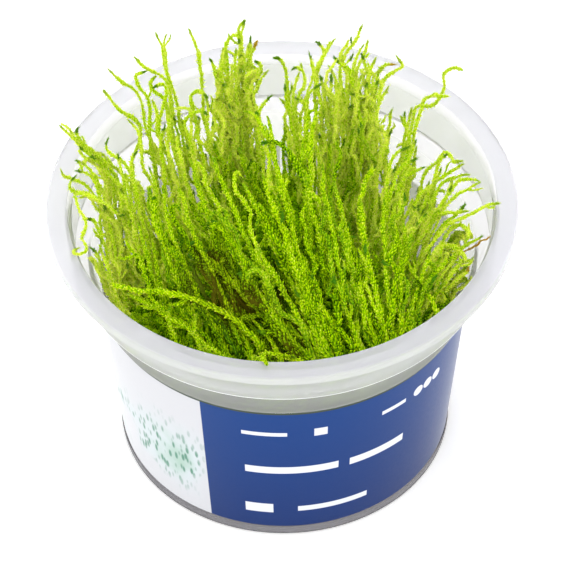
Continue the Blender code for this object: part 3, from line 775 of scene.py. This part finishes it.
        (1, 1.5, 0.95, 0.3, "dark", (22.9, -8.2, 70), (24.7, -2.4, 73), (26.2, -0.5, 74.3),
         (29.6, -0.5, 76)),
        (0, 1, 0.95, 0.5, "dark", (27.4, -3.9, 57.8), (30.1, 4.5, 69), (31.3, 5.3, 70.8), (34.6, 5.1, 74)),
        (0, 1, 0.95, 0.65, "bud", (30.1, -5.6, 61.1), (31.3, 0.8, 65.1), (34, 9.6, 70.8),
         (34.9, 9.4, 71.3), (36.3, 3.7, 73), (37.9, 3.4, 74)),
        (1, 1.2, 0.95, 0.5, "bud", (27.9, -5.7, 62.8), (32.1, 2.5, 69.1), (37.9, 3.3, 73)),
        (1, 1.2, 0.95, 0.45, "bud", (28.9, -7.7, 63.4), (31.6, -1.2, 67.2), (34, 2, 69.3), (37.5, 2, 71.2),
         (39.1, 1.3, 72)),
        (1, 1.2, 0.95, 0.5, "bud", (29.9, -8.8, 63), (33.2, -2.7, 67.2), (37.1, 1.2, 70.6),
         (38.3, 1.4, 71.3), (41.1, -2, 73)),
        (0, 1, 0.85, 0.55, "bud", (31, -7.4, 63), (34.2, -3.3, 66.8), (36.8, -1.4, 69.1),
         (41.1, -1.1, 72)),
        (2, 1.5, 0.95, 0.35, "dark", (29.9, -8.8, 63), (32.7, -4.4, 67.4), (35.5, -1.2, 71)),
        (0, 1, 1.04, 0.6, "bud", (28.7, -13.7, 62), (34.7, -7.5, 66.7), (41.5, -7.3, 70.2),
         (42.8, -6.7, 71), (44.7, -7.4, 72)),
        (1, 1.2, 0.95, 0.45, "bud", (27.8, -10.3, 63), (32.5, -5.6, 67.5), (38.5, -8.2, 71)),
        (0, 1, 1.23, 0.35, "dark", (33.1, -7, 64), (38.1, -5.3, 70)),
        (0, 1, 1.14, 0.5, "bud", (30.9, -13.3, 60), (35.6, -6.4, 64.6), (36.9, -6.2, 65.3),
         (38.1, -7.6, 66), (38.8, -9.9, 66.7), (38.8, -12.6, 67.4), (37.9, -14.7, 68)),
        (0, 1, 1.04, 0.4, "dark", (32.9, -14.7, 60), (36.1, -12.5, 63), (41.5, -12, 67)),
        (0, 1, 0.52, 0.5, "twig", (35.5, -12.8, 61), (42.9, -12.3, 67)),
        (0, 1, 1.9, 1.0, "plain", (30.6, -18.9, 62), (31.4, -13.7, 62.6), (32.3, -11.1, 62.9),
         (33.6, -10.3, 63.1), (35.1, -10.7, 63.3), (36.5, -12.3, 63.6), (37.7, -13.8, 63.8),
         (38.2, -15.7, 64)),
        (0, 1, 1.04, 0.5, "bud", (32.8, -18.6, 58), (35.4, -15.5, 60.8), (37, -14.5, 62.1),
         (40.3, -15.8, 64)),
        (2, 2, 0.95, 0.65, "brown", (31.7, -19.6, 56), (36.9, -17.6, 60.8), (39.8, -17.8, 63)),
        (3, 2, 0.95, 0.4, "dark", (24.4, -17.4, 66), (26.5, -13.2, 69.1), (28.2, -11.2, 70.9),
         (29.7, -10.6, 72)),
        (6, 3, 0.95, 0.5, "bud", (29.6, -21.3, 57.9), (31.7, -17.9, 61.9), (33.9, -12.3, 68)),
        (5, 3, 0.95, 0.55, "bud", (27.4, -23.8, 56), (30.6, -20.7, 60.3), (35.8, -17.6, 66)),
        (6, 2.5, 0.95, 0.5, "bud", (25.8, -6.8, 64), (27.9, -3.1, 67.6), (30.1, -1.1, 70.1),
         (32.2, -0.1, 72)),
        (4, 2.4, 1.0, 0.5, "bud", (27, 6, 44), (31, 9, 54), (34, 12, 63)),
        (4, 2.4, 1.0, 0.5, "bud", (24, 11, 44), (27, 16, 54), (29, 20, 62)),
        (6, 3.2, 1.0, 0.5, "bud", (24, 0, 44), (28, 2, 56), (31, 3, 68)),
        (6, 2.6, 1.0, 0.5, "bud", (31, -9, 46), (35, -9, 54), (38, -9, 61)),
        (6, 2.6, 1.0, 0.5, "bud", (31, -15, 46), (34, -16, 54), (37, -17, 60)),
        (3, 3, 1.0, 0.5, "bud", (22, 6, 44), (25, 10, 56), (27, 12, 68)),
        (7, 2, 1.0, 0.5, "bud", (34, 2, 44), (37, 0, 55), (38.5, -6, 62)),
        (6, 2, 1.0, 0.5, "bud", (34, -7, 44), (37, -11, 54), (38.5, -15, 61)),
    ],
    "front_right": [
        (4, 3, 1.6, 0.6, "bud", (9.4, -39.2, 58), (-7.6, -10.6, 82)),
        (5, 3, 1.5, 0.5, "bud", (12.5, -38.5, 58), (3.2, -21.4, 73.6), (-0.8, -10.3, 83)),
        (5, 3, 1.5, 0.5, "bud", (16, -37.1, 58), (6.1, -15, 78.9), (4.8, -10.4, 83)),
        (5, 3, 1.5, 0.5, "bud", (19.4, -35.3, 58), (13.8, -21.4, 71.9), (11, -11, 82)),
        (0, 1, 1.8, 0.85, "plain", (20.8, -33.4, 59), (15.7, -11.7, 74.7), (16.4, -8.7, 76.9),
         (17.7, -6, 78.9), (19, -5.1, 80)),
        (4, 2.5, 1.4, 0.5, "bud", (21.4, -34.8, 59), (17.5, -22.4, 71.4), (16.1, -13.5, 80)),
        (5, 3, 1.4, 0.5, "bud", (22.3, -33.9, 58), (20.7, -17, 74.7), (21.2, -12.6, 79)),
        (1, 1.5, 1.5, 0.8, "plain", (24, -32.6, 58), (24.6, -19.8, 70.1), (23.5, -15.8, 74)),
        (1, 1.5, 1.3, 0.75, "bud", (24, -31.2, 58), (24.6, -20.7, 68.9), (25.5, -16.5, 73.5),
         (25.1, -15.1, 75)),
        (5, 2.5, 1.3, 0.5, "bud", (26.1, -31.2, 58), (27.2, -25.8, 62.8), (30.5, -18.4, 70)),
        (0, 1, 1.6, 0.85, "plain", (25.1, -29.4, 60), (29.2, -22.1, 63.4), (31.4, -19.7, 64.7),
         (33.9, -18.1, 66)),
        (0, 1, 1.5, 0.6, "plain", (30.8, -25.7, 62), (26, -18.5, 66)),
        (3, 2, 1.2, 0.35, "bud", (28.4, -26.6, 56), (33, -20.9, 62)),
    ],
    "front": [
        (1, 1.5, 2.0, 0.9, "plain", (5.7, -38.3, 58), (0.2, -33.9, 62.8), (-4.6, -29, 67.5),
         (-11.2, -18.2, 76)),
        (1, 1.5, 1.7, 0.75, "plain", (-3.6, -29.2, 61), (-13.8, -21.1, 69.2), (-17.9, -19.4, 72)),
        (2, 2, 1.7, 0.6, "bud", (7.8, -37, 58), (-5, -23.9, 77)),
        (2, 2, 1.8, 0.75, "plain", (10, -38.4, 58), (4.1, -27.3, 70.3), (2.9, -26, 72)),
        (0, 1, 1.6, 0.4, "plain", (3.7, -34.1, 61), (-2.4, -29.1, 62.7), (-6.9, -30.4, 63.6),
         (-8.6, -31.6, 64)),
        (0, 1, 1.4, 0.7, "plain", (-0.1, -39, 58), (-2.9, -33.8, 60.2), (-6.1, -30.3, 62)),
        (0, 1, 1.1, 1.0, "plain", (0.2, -44.5, 65), (-2.9, -43.9, 65.9), (-4.5, -46.5, 66.5),
         (-4.7, -47.9, 66.8), (-3.9, -48.7, 67), (-3.3, -48.1, 67.3), (-3.7, -47.3, 67.5)),
        (0, 1, 1.0, 0.8, "plain", (-4.1, -41.7, 62), (-5.3, -40.9, 62.8), (-6.1, -41.6, 63.2),
         (-6.6, -42.9, 63.6), (-6.1, -44, 64)),
        (5, 3.5, 1.5, 0.35, "bud", (3.3, -35.6, 55), (-8.8, -21.1, 70)),
        (5, 3.5, 1.4, 0.3, "bud", (-1.9, -34.6, 54), (-13.5, -20.9, 66)),
        (5, 3.5, 1.5, 0.4, "bud", (7.1, -30, 54), (0.4, -22.3, 65.7), (-1.6, -19.2, 70)),
    ],
    "front_left": [
        (6, 3.5, 1.3, 0.5, "bud", (-17.4, -30.4, 58), (-24.3, -17.9, 70.6), (-27.3, -8.8, 79)),
        (6, 3.5, 1.3, 0.5, "bud", (-12.2, -32.4, 57), (-17.2, -26.4, 64.3), (-21.2, -20.2, 71.4),
         (-23.6, -15.2, 76.6), (-24.7, -10.8, 81)),
        (6, 3.5, 1.4, 0.5, "bud", (-7, -33.9, 57), (-16.4, -21, 72.1), (-19.4, -16.2, 77.6),
         (-20.9, -11.8, 82)),
        (5, 3, 1.3, 0.55, "bud", (-22.6, -28, 57), (-26, -22.7, 63.6), (-28.3, -18.1, 69.3),
         (-29.7, -14, 74)),
        (0, 1, 1.8, 0.85, "plain", (-9, -32.4, 64), (-14.1, -29.2, 64.9), (-19.2, -26.8, 65.7),
         (-24.4, -26, 66.5), (-29.5, -26.3, 67.2), (-34.6, -25.2, 68)),
        (3, 2, 1.3, 0.5, "bud", (-16.3, -34.1, 59), (-19.4, -31.1, 60.4), (-27.6, -26.8, 63.5),
         (-31.7, -25.3, 65)),
        (2, 1.5, 1.3, 0.75, "bud", (-22.3, -32, 58), (-23.9, -28.9, 62.3), (-23.2, -27.7, 64)),
        (2, 1.5, 1.3, 0.7, "bud", (-17.1, -34.9, 58), (-18.5, -31.4, 61.3), (-18.1, -29.6, 63)),
        (1, 1, 1.1, 0.7, "bud", (-12.7, -39.3, 61), (-15.6, -37.5, 62.8), (-16.8, -38.6, 63.4),
         (-17.3, -40.8, 64)),
        (2, 2, 1.5, 0.3, "bud", (-4, -28.1, 53), (-7.1, -25.6, 54.1), (-10.8, -24.8, 55.2),
         (-17.4, -25.8, 57)),
        (7, 3, 1.2, 0.5, "bud", (-23, -20, 45), (-27, -22, 51), (-31, -24, 58)),
        (6, 3, 1.2, 0.5, "bud", (-20, -26, 45), (-24, -30, 51), (-27, -32, 58)),
    ],
    "centre": [
        (6, 3.5, 1.4, 0.45, "bud", (-4, -30, 52.6), (-15.3, -14.9, 77.7), (-17.6, -11, 84)),
        (0, 1, 1.3, 0.6, "bud", (0.7, -10.3, 80), (-4, 5, 83.8), (-5.2, 7.4, 84.5), (-7.1, 7.8, 85)),
        (0, 1, 1.7, 0.2, "dark", (2.2, -4.4, 84), (1, -2.6, 84.6), (-0.5, -1.6, 85.1), (-2.1, -1.7, 85.5),
         (-3.8, -2.8, 86)),
        (7, 4, 1.3, 0.5, "bud", (5.8, -11.3, 78), (5.9, -2.4, 82.2), (7.4, 7.5, 87)),
        (4, 3, 1.3, 0.5, "bud", (0.6, -14.1, 78), (-2.7, 4.9, 86)),
        (6, 4, 1.4, 0.5, "bud", (3.5, -28.3, 72), (-4, -10.8, 85)),
        (6, 4, 1.4, 0.5, "bud", (-4.7, -25.3, 72), (-11.7, -12.3, 82.3), (-13.7, -7.3, 86)),
        (6, 4, 1.4, 0.45, "bud", (11.7, -25.6, 72), (8.8, -13.9, 82), (8.3, -9.1, 86)),
        (6, 4, 1.3, 0.5, "bud", (-10.9, -20.5, 70), (-14.9, -14.1, 75.4), (-17.3, -9.2, 79.3),
         (-18.9, -4.1, 83)),
        (9, 3.4, 1.0, 0.5, "bud", (-2, -2, 50), (-5, 1, 64), (-9, 4, 78)),
        (9, 3.4, 1.0, 0.5, "bud", (-8, 1, 50), (-11, 5, 62), (-14, 9, 75)),
        (5, 3, 1.0, 0.5, "bud", (2, 5, 50), (2, 9, 64), (1, 13, 77)),
        (9, 3.4, 1.0, 0.5, "bud", (-8, -6, 50), (-12, -5, 62), (-17, -3, 76)),
        (6, 3.2, 1.0, 0.5, "bud", (9, -2, 50), (10, 1, 64), (10, 4, 79)),
        (6, 3.2, 1.0, 0.5, "bud", (12, 3, 50), (14, 8, 62), (15, 12, 76)),
    ],
}

coreRings = {  # the dense mass that the shoots grow from: x, y, radius and height
    "left": [(-21.5, 2, 9, 15), (-25, 3, 11, 30), (-26, 3.5, 9, 37), (-26, 4, 3, 41)],
    "back_left": [(-15.5, 17.5, 8, 15), (-18, 19, 8.5, 30), (-19, 20, 7, 37), (-19, 20, 2.5, 41)],
    "back": [(1, 22.5, 8.5, 15), (-1.5, 24, 10, 34), (-2, 23.5, 8, 42), (-2, 23, 3, 47)],
    "back_right": [(16.5, 16.5, 8, 15), (16, 18.5, 9, 34), (16, 19, 7.5, 42), (16, 19, 3, 47)],
    "right": [(22.5, -1, 8.5, 15), (25, -2, 10, 30), (26, -2.5, 9, 38), (26, -3, 3, 43)],
    "front_right": [(16, -17, 10, 15), (19, -20, 14.5, 38), (20, -21.5, 14.5, 49), (20, -21, 10, 54),
        (19, -20, 4, 56)],
    "front": [(0, -23, 9, 15), (1, -25.5, 13, 38), (1, -26.5, 13.5, 49), (1, -26, 10, 53),
        (1, -25, 4, 55)],
    "front_left": [(-16.5, -17, 10, 15), (-19, -19, 14, 38), (-20.5, -19.5, 14, 47), (-20, -19, 9, 51),
        (-19, -18, 4, 53)],
    "centre": [(0, 0, 10, 15), (-0.5, 0, 16, 38), (-1, 0, 16, 50), (-1, 0, 12, 57), (-1, 0, 5, 61)],
}

straightShoots = {}


def makeWhorl(bm, s):
    # one whorl: two rows of a tube, and every face drawn out to a leaf that points up the stem
    edges = ringOf(bm, s["sides"], s["stem"] / mm, (0, 0, 0))
    turn = Matrix.Rotation(math.pi / s["sides"], 3, "Z")
    for row in range(2):
        verts, edges = growRing(bm, edges)
        bmesh.ops.translate(bm, verts=verts, vec=(0, 0, 1))
        bmesh.ops.rotate(bm, verts=verts, cent=(0, 0, 0), matrix=turn)
    leaf = bm.verts.layers.float.new("leaf")
    for point in bmesh.ops.poke(bm, faces=inOrder(bm))["verts"]:
        point[leaf] = 1
        point.co.x *= s["reach"] / s["stem"]
        point.co.y *= s["reach"] / s["stem"]
        point.co.z += s["rise"]


def straightShoot(whorls, s):
    # a straight shoot one unit wide each way and one unit a row, closed at both ends
    if whorls not in straightShoots:
        bm = bmesh.new()
        makeWhorl(bm, s)
        bmesh.ops.spin(bm, geom=bm.verts[:] + bm.edges[:] + bm.faces[:], cent=(0, 0, 0), axis=(0, 0, 1),
                       dvec=(0, 0, 2), angle=2 * math.pi / s["sides"] * (whorls - 1), steps=whorls - 1,
                       use_merge=False, use_duplicate=True)
        bmesh.ops.remove_doubles(bm, verts=bm.verts, dist=0.01)
        ends = [edge for edge in bm.edges if edge.is_boundary]
        caps = bmesh.ops.holes_fill(bm, edges=ends, sides=s["sides"])["faces"]
        for point in bmesh.ops.poke(bm, faces=caps)["verts"]:
            point.co.z += 0.7 if point.co.z > 1 else -0.5
        bmesh.ops.recalc_face_normals(bm, faces=bm.faces)
        mesh = bpy.data.meshes.new("shoot")
        bm.to_mesh(mesh)
        bm.free()
        co = np.zeros(len(mesh.vertices) * 3)
        mesh.vertices.foreach_get("co", co)
        leaf = np.zeros(len(mesh.vertices))
        mesh.attributes["leaf"].data.foreach_get("value", leaf)
        straightShoots[whorls] = mesh, co.reshape(-1, 3), leaf
    return straightShoots[whorls]


def evenPath(points):
    # points in mm, made even along the path and rounded at the corners
    points = np.array(points, float)
    run = np.concatenate([[0], np.cumsum(np.linalg.norm(np.diff(points, axis=0), axis=1))])
    count = max(8, int(run[-1] / pathStep))
    at = np.linspace(0, run[-1], count)
    path = np.stack([np.interp(at, run, points[:, i]) for i in range(3)], 1)
    reach = max(1, int(pathSoft / pathStep * 2))
    weights = np.exp(-0.5 * (np.arange(-reach, reach + 1) * pathStep / pathSoft) ** 2)
    weights /= weights.sum()
    ends = np.concatenate([2 * path[0] - path[reach:0:-1], path, 2 * path[-1] - path[-2:-reach - 2:-1]])
    return np.stack([np.convolve(ends[:, i], weights, "valid") for i in range(3)], 1)


def frames(path):
    # the direction of the path and two directions across it that don't twist
    along = np.gradient(path, axis=0)
    along /= np.linalg.norm(along, axis=1)[:, None] + 1e-12
    side = np.zeros_like(path)
    side[0] = np.cross(along[0], (0.3, 1, 0.2))
    for i in range(1, len(path)):
        side[i] = side[i - 1] - along[i] * (side[i - 1] @ along[i])
        side[i] /= np.linalg.norm(side[i]) + 1e-12
    side[0] /= np.linalg.norm(side[0]) + 1e-12
    return along, side, np.cross(along, side)


def bendShoot(path, width, s, dice):
    # a straight shoot laid along a path, thick in the middle and fine at the tip
    length = np.linalg.norm(np.diff(path, axis=0), axis=1).sum()
    whorls = max(3, int(round(length / s["row"] / 2 / max(0.8, min(1.25, width / 1.2)))))
    mesh, co, leaf = straightShoot(whorls, s)
    along, side, other = frames(path)
    share = np.clip(co[:, 2] / (2 * whorls), 0, 1)
    share = share * (1.55 - 0.55 * share)  # finer leaves towards the tip
    at = share * (len(path) - 1)
    low = np.clip(at.astype(int), 0, len(path) - 2)
    part = (at - low)[:, None]
    centre, right, up, ahead = [
        field[low] * (1 - part) + field[low + 1] * part for field in (path, side, other, along)]
    spin = dice.uniform(0, fullTurn) + share * dice.uniform(-6, 6)
    taper = np.interp(share * length, [0, 3, length - 5, length - 1.8, length - 0.6, length],
                      [0.6, 0.95, 1, 0.8, 0.8, 0.55])
    lumps = 1 + 0.12 * np.sin(share * length / 1.9 + dice.uniform(0, 6))
    lumps = lumps + 0.08 * np.sin(share * length / 0.8 + dice.uniform(0, 6))
    out = width / 2 * taper * lumps
    fine = np.clip(1.3 - width, 0, 0.5)  # the leaves stand out more on a thin shoot
    jitter = 1 + leaf * (1.1 * fine + dice.normal(0, s["scatter"] + 0.4 * fine, len(leaf)))
    x = (co[:, 0] * np.cos(spin) - co[:, 1] * np.sin(spin)) * out * jitter
    y = (co[:, 0] * np.sin(spin) + co[:, 1] * np.cos(spin)) * out * jitter
    slide = leaf * dice.normal(0, s["row"] * 0.5, len(leaf)) + np.where(co[:, 2] > 2 * whorls, s["row"], 0)
    place = centre + right * x[:, None] + up * y[:, None] + ahead * slide[:, None]
    return mesh, place, share


def wallLimit(z):
    # how far from the middle the moss may be at a height, in mm
    return np.interp(z, [1, 15, 43, 53, 55.5, 63.5, 66.2, 67.5, 69],
                     [33.2, 34.2, 37.0, 39.0, 41.8, 42.3, 43.0, 47.5, 50])


def keepInside(path):
    # no shoot leaves the cup through its wall or passes through the rim
    away = np.hypot(path[:, 0], path[:, 1]) + 1e-9
    shrink = np.minimum(1, wallLimit(path[:, 2]) / away)
    path[:, 0] *= shrink
    path[:, 1] *= shrink
    return path


def paintedShadeAt(place, s):
    # how much painted shade darkens the moss at each point, with places in mm
    dark = np.zeros(len(place))
    for low, high, radius, depth in s["paintedShadeHollows"]:
        way = np.subtract(high, low)
        share = np.clip((place - low) @ way / (way @ way), 0, 1)
        away = ((place - low - share[:, None] * way) ** 2).sum(1)
        dark += depth * np.exp(-away / radius ** 2)
    return dark


def withRoot(points, height, heart, most):
    # carries a path on below its first point to the dense mass, leaning in towards the heart of the moss
    first = np.array(points[0], float)
    lean = first - np.array(points[1], float)
    lean = lean / (np.linalg.norm(lean) + 1e-9)
    bend = first + lean * 5 + np.array([0, 0, -3.0])
    drop = max(4.0, bend[2] - height)
    pull = min(most, drop / 60)
    end = bend + np.array([(heart[0] - bend[0]) * pull, (heart[1] - bend[1]) * pull, -drop])
    return [end, bend] + points


def wander(path, amount, dice):
    # slow sideways waves that grow from the root to the tip
    share = np.linspace(0, 1, len(path))
    length = len(path) * pathStep
    for axis in range(3):
        for wave in (14.0, 7.0, 3.6):
            swing = np.sin(share * length * fullTurn / wave + dice.uniform(0, fullTurn))
            path[:, axis] += amount * wave / 14 * swing * np.minimum(1, share * 4)
    return path


def curlOn(path, length, dice):
    # the last stretch of a shoot turns over to one side
    steps = max(3, int(length / pathStep))
    way = path[-1] - path[-3]
    way /= np.linalg.norm(way)
    axis = np.cross(way, dice.normal(0, 1, 3))
    axis /= np.linalg.norm(axis)
    turn = math.radians(dice.uniform(60, 190)) / steps
    points = [path[-1]]
    for i in range(steps):
        way = way * math.cos(turn) + np.cross(axis, way) * math.sin(turn)
        points.append(points[-1] + way * pathStep)
    return np.concatenate([path, points[1:]])


def follow(points, spread, s, dice):
    # a neighbour of a leading shoot: moved sideways, of its own length, often with a curled tip
    path = evenPath(points)
    share = np.linspace(0, 1, len(path))[:, None]
    root = np.array([dice.normal(0, 0.7), dice.normal(0, 0.7), dice.uniform(-0.5, 0.3)]) * spread
    tip = np.array([dice.normal(0, 0.8), dice.normal(0, 0.8), dice.uniform(-1.0, 0.1)]) * spread
    path = path + root * (1 - share) + tip * share ** 1.5
    path = path[:max(12, int(len(path) * dice.uniform(*s["cut"])))]
    return curlOn(path, dice.uniform(*s["curl"]), dice) if dice.uniform() < s["curled"] else path


def twigPath(path, dice):
    # a short side shoot that leaves the stem at an angle and turns up along it
    start = int(len(path) * dice.uniform(0.45, 0.96))
    way = path[start] - path[start - 2]
    way /= np.linalg.norm(way)
    side = np.cross(way, dice.normal(0, 1, 3))
    side /= np.linalg.norm(side)
    length = dice.uniform(1.6, 4.2)
    share = np.linspace(0, 1, max(4, int(length / pathStep)))[:, None]
    return path[start] + (side * np.sin(share * 1.5) * 0.6 + way * share * 0.8) * length


def makeCore(bm, rings, dice):
    # stacked rings around the tuft's middle, each face drawn out to a coarse leaf
    levels = np.arange(rings[0][3], rings[-1][3] + 0.01, 1.3)
    heights = [ring[3] for ring in rings]
    x, y, radius = [np.interp(levels, heights, [ring[i] for ring in rings]) for i in range(3)]
    edges = ringOf(bm, 30, radius[0], (x[0], y[0], levels[0]), capped=True)
    halfLeaf = Matrix.Rotation(math.radians(6), 3, "Z")
    for i in range(1, len(levels)):
        verts, edges = growRing(bm, edges)
        grow = radius[i] / radius[i - 1]
        centred = Matrix.Translation((-x[i - 1] * mm, -y[i - 1] * mm, 0))
        rise = Vector((x[i] - x[i - 1], y[i] - y[i - 1], levels[i] - levels[i - 1])) * mm
        bmesh.ops.scale(bm, verts=verts, vec=(grow, grow, 1), space=centred)
        bmesh.ops.translate(bm, verts=verts, vec=rise)
        bmesh.ops.rotate(bm, verts=verts, cent=Vector((x[i], y[i], 0)) * mm, matrix=halfLeaf)
    bmesh.ops.edgeloop_fill(bm, edges=edges)
    bmesh.ops.recalc_face_normals(bm, faces=bm.faces)
    for point in bmesh.ops.poke(bm, faces=inOrder(bm), offset=0)["verts"]:
        point.normal_update()
        point.co += point.normal * dice.uniform(0.3, 1.3) * mm + Vector((0, 0, dice.uniform(0, 1.2))) * mm
        point[bm.verts.layers.float["leaf"]] = 1
    for vert in bm.verts:
        limit = wallLimit(vert.co.z / mm) * mm
        away = math.hypot(vert.co.x, vert.co.y)
        if away > limit:
            vert.co.x *= limit / away
            vert.co.y *= limit / away


# how dark green and how brown the tip of each kind is
tipKinds = {
    "bud": (0.45, 0.0), "dark": (0.9, 0.0), "plain": (0.0, 0.0), "brown": (0.3, 0.9), "twig": (0.0, 1.0),
}


def shootTone(leads, shade, paintedLightShade, s, dice):
    if leads:
        share, most, least, drop = s["leader"]
        return min(shade * share, most) + max(least, paintedLightShade - drop)
    share, uneven, least = s["follower"]
    return float(np.clip(dice.normal(shade * share + paintedLightShade, uneven), least, 1))


def makeTuft(name, paths, material, s, seed):
    dice = np.random.RandomState(seed)
    bm = bmesh.new()
    bm.verts.layers.float.new("leaf")
    makeCore(bm, coreRings[name], dice)
    coreCount = len(bm.verts)
    paintedLightShade = s["paintedLightShade"][name]
    rootHeight = min(s["rootHeight"], coreRings[name][-1][3] - 4)
    places = []
    # the dense mass takes the tuft's painted light and shade too
    marks = {"shade": [np.full(coreCount, 0.15 + 0.6 * paintedLightShade)], "along": [np.full(coreCount, s["rootTone"])],
             "bud": [np.zeros(coreCount)], "warm": [np.zeros(coreCount)]}

    def addShoot(path, width, tone, kind, shadeShare, green):
        mesh, place, share = bendShoot(path, width, s, dice)
        bm.from_mesh(mesh)
        dark, warm = tipKinds[kind]
        length = len(path) * pathStep
        nearTip = np.clip((share * length - length + dice.uniform(0.9, 2.0)) / 0.7, 0, 1)
        brown = np.clip((share - 0.6) * 5, 0, 1) if kind == "twig" else nearTip
        hollowShade = paintedShadeAt(place, s)
        places.append(place)
        # the hollows' painted shade darkens the tone and warms it towards brown
        marks["shade"].append(tone - shadeShare * hollowShade)
        marks["along"].append(share if length > 8 else s["rootTone"] + share * (1 - s["rootTone"]))
        marks["bud"].append(np.maximum(nearTip * dark, green))
        marks["warm"].append(brown * warm + 0.3 * hollowShade)

    for followers, spread, width, shade, tip, *points in paths:
        rooted = withRoot(points, rootHeight, s["heart"], s["ownLean"].get(name, s["lean"]))
        for i in range(int(round(followers * s["crowd"][name])) + 1):
            leads = i == 0
            path = evenPath(rooted) if leads else follow(rooted, spread, s, dice)
            path = keepInside(wander(path, s["wave"] * (0.25 if leads else 1), dice))
            wide = width * (1 if leads else dice.uniform(0.8, 1.15))
            tone = shootTone(leads, shade, paintedLightShade, s, dice)
            green = max(0.0, dice.uniform(*s["green"]))
            kind = tip if leads else dice.choice(["bud", "dark"] + ["plain"] * 5)
            addShoot(path, wide, tone, kind, 0.3 if leads else 1, green * (0.3 if leads else 1))
            for twig in range(dice.poisson(s["twigs"])):
                twigWay = keepInside(twigPath(path, dice))
                addShoot(twigWay, wide * 0.8, tone, dice.choice(["bud", "dark"] + ["plain"] * 4), 1, green)
    mesh = bpy.data.meshes.new("moss_" + name)
    bm.to_mesh(mesh)
    bm.free()
    co = np.zeros(len(mesh.vertices) * 3)
    mesh.vertices.foreach_get("co", co)
    co = co.reshape(-1, 3)
    co[coreCount:] = np.concatenate(places) * mm
    mesh.vertices.foreach_set("co", co.ravel())
    for label, values in marks.items():
        mesh.attributes.new(label, "FLOAT", "POINT").data.foreach_set("value", np.concatenate(values))
    print("moss_" + name, "has", len(places), "shoots")
    placePiece(mesh, "moss_" + name, material, ["moss_tuft_" + name], smooth=60)


mossGreen = makeMossMaterial("mossGreen", 0.6, mossSettings)
for number, (tuftName, tuftPaths) in enumerate(shootPaths.items()):
    makeTuft(tuftName, tuftPaths, mossGreen, shootSettings, 11 + number)
print("moss tufts made")


# Bed of old stems

bedSettings = {
    "rings": [(0, 0, 32.6, 1.6), (0, 0, 33.2, 5), (0, 0, 33.4, 11), (0, 0, 30, 13.6), (0, 0, 8, 14.4)],
    "tone": {"shade": 0.05, "along": 0.1, "bud": 0, "warm": 0.25},
}


def makeBed(s, material):
    dice = np.random.RandomState(5)
    bm = bmesh.new()
    bm.verts.layers.float.new("leaf")
    makeCore(bm, s["rings"], dice)
    mesh = bpy.data.meshes.new("moss_bed")
    bm.to_mesh(mesh)
    bm.free()
    for label, value in s["tone"].items():
        mesh.attributes.new(label, "FLOAT", "POINT").data.foreach_set("value", [value] * len(mesh.vertices))
    placePiece(mesh, "moss_bed", material, ["moss_mat"], smooth=60)


makeBed(bedSettings, makeMossMaterial("mossBed", 0.8, mossSettings))
print("bed made")
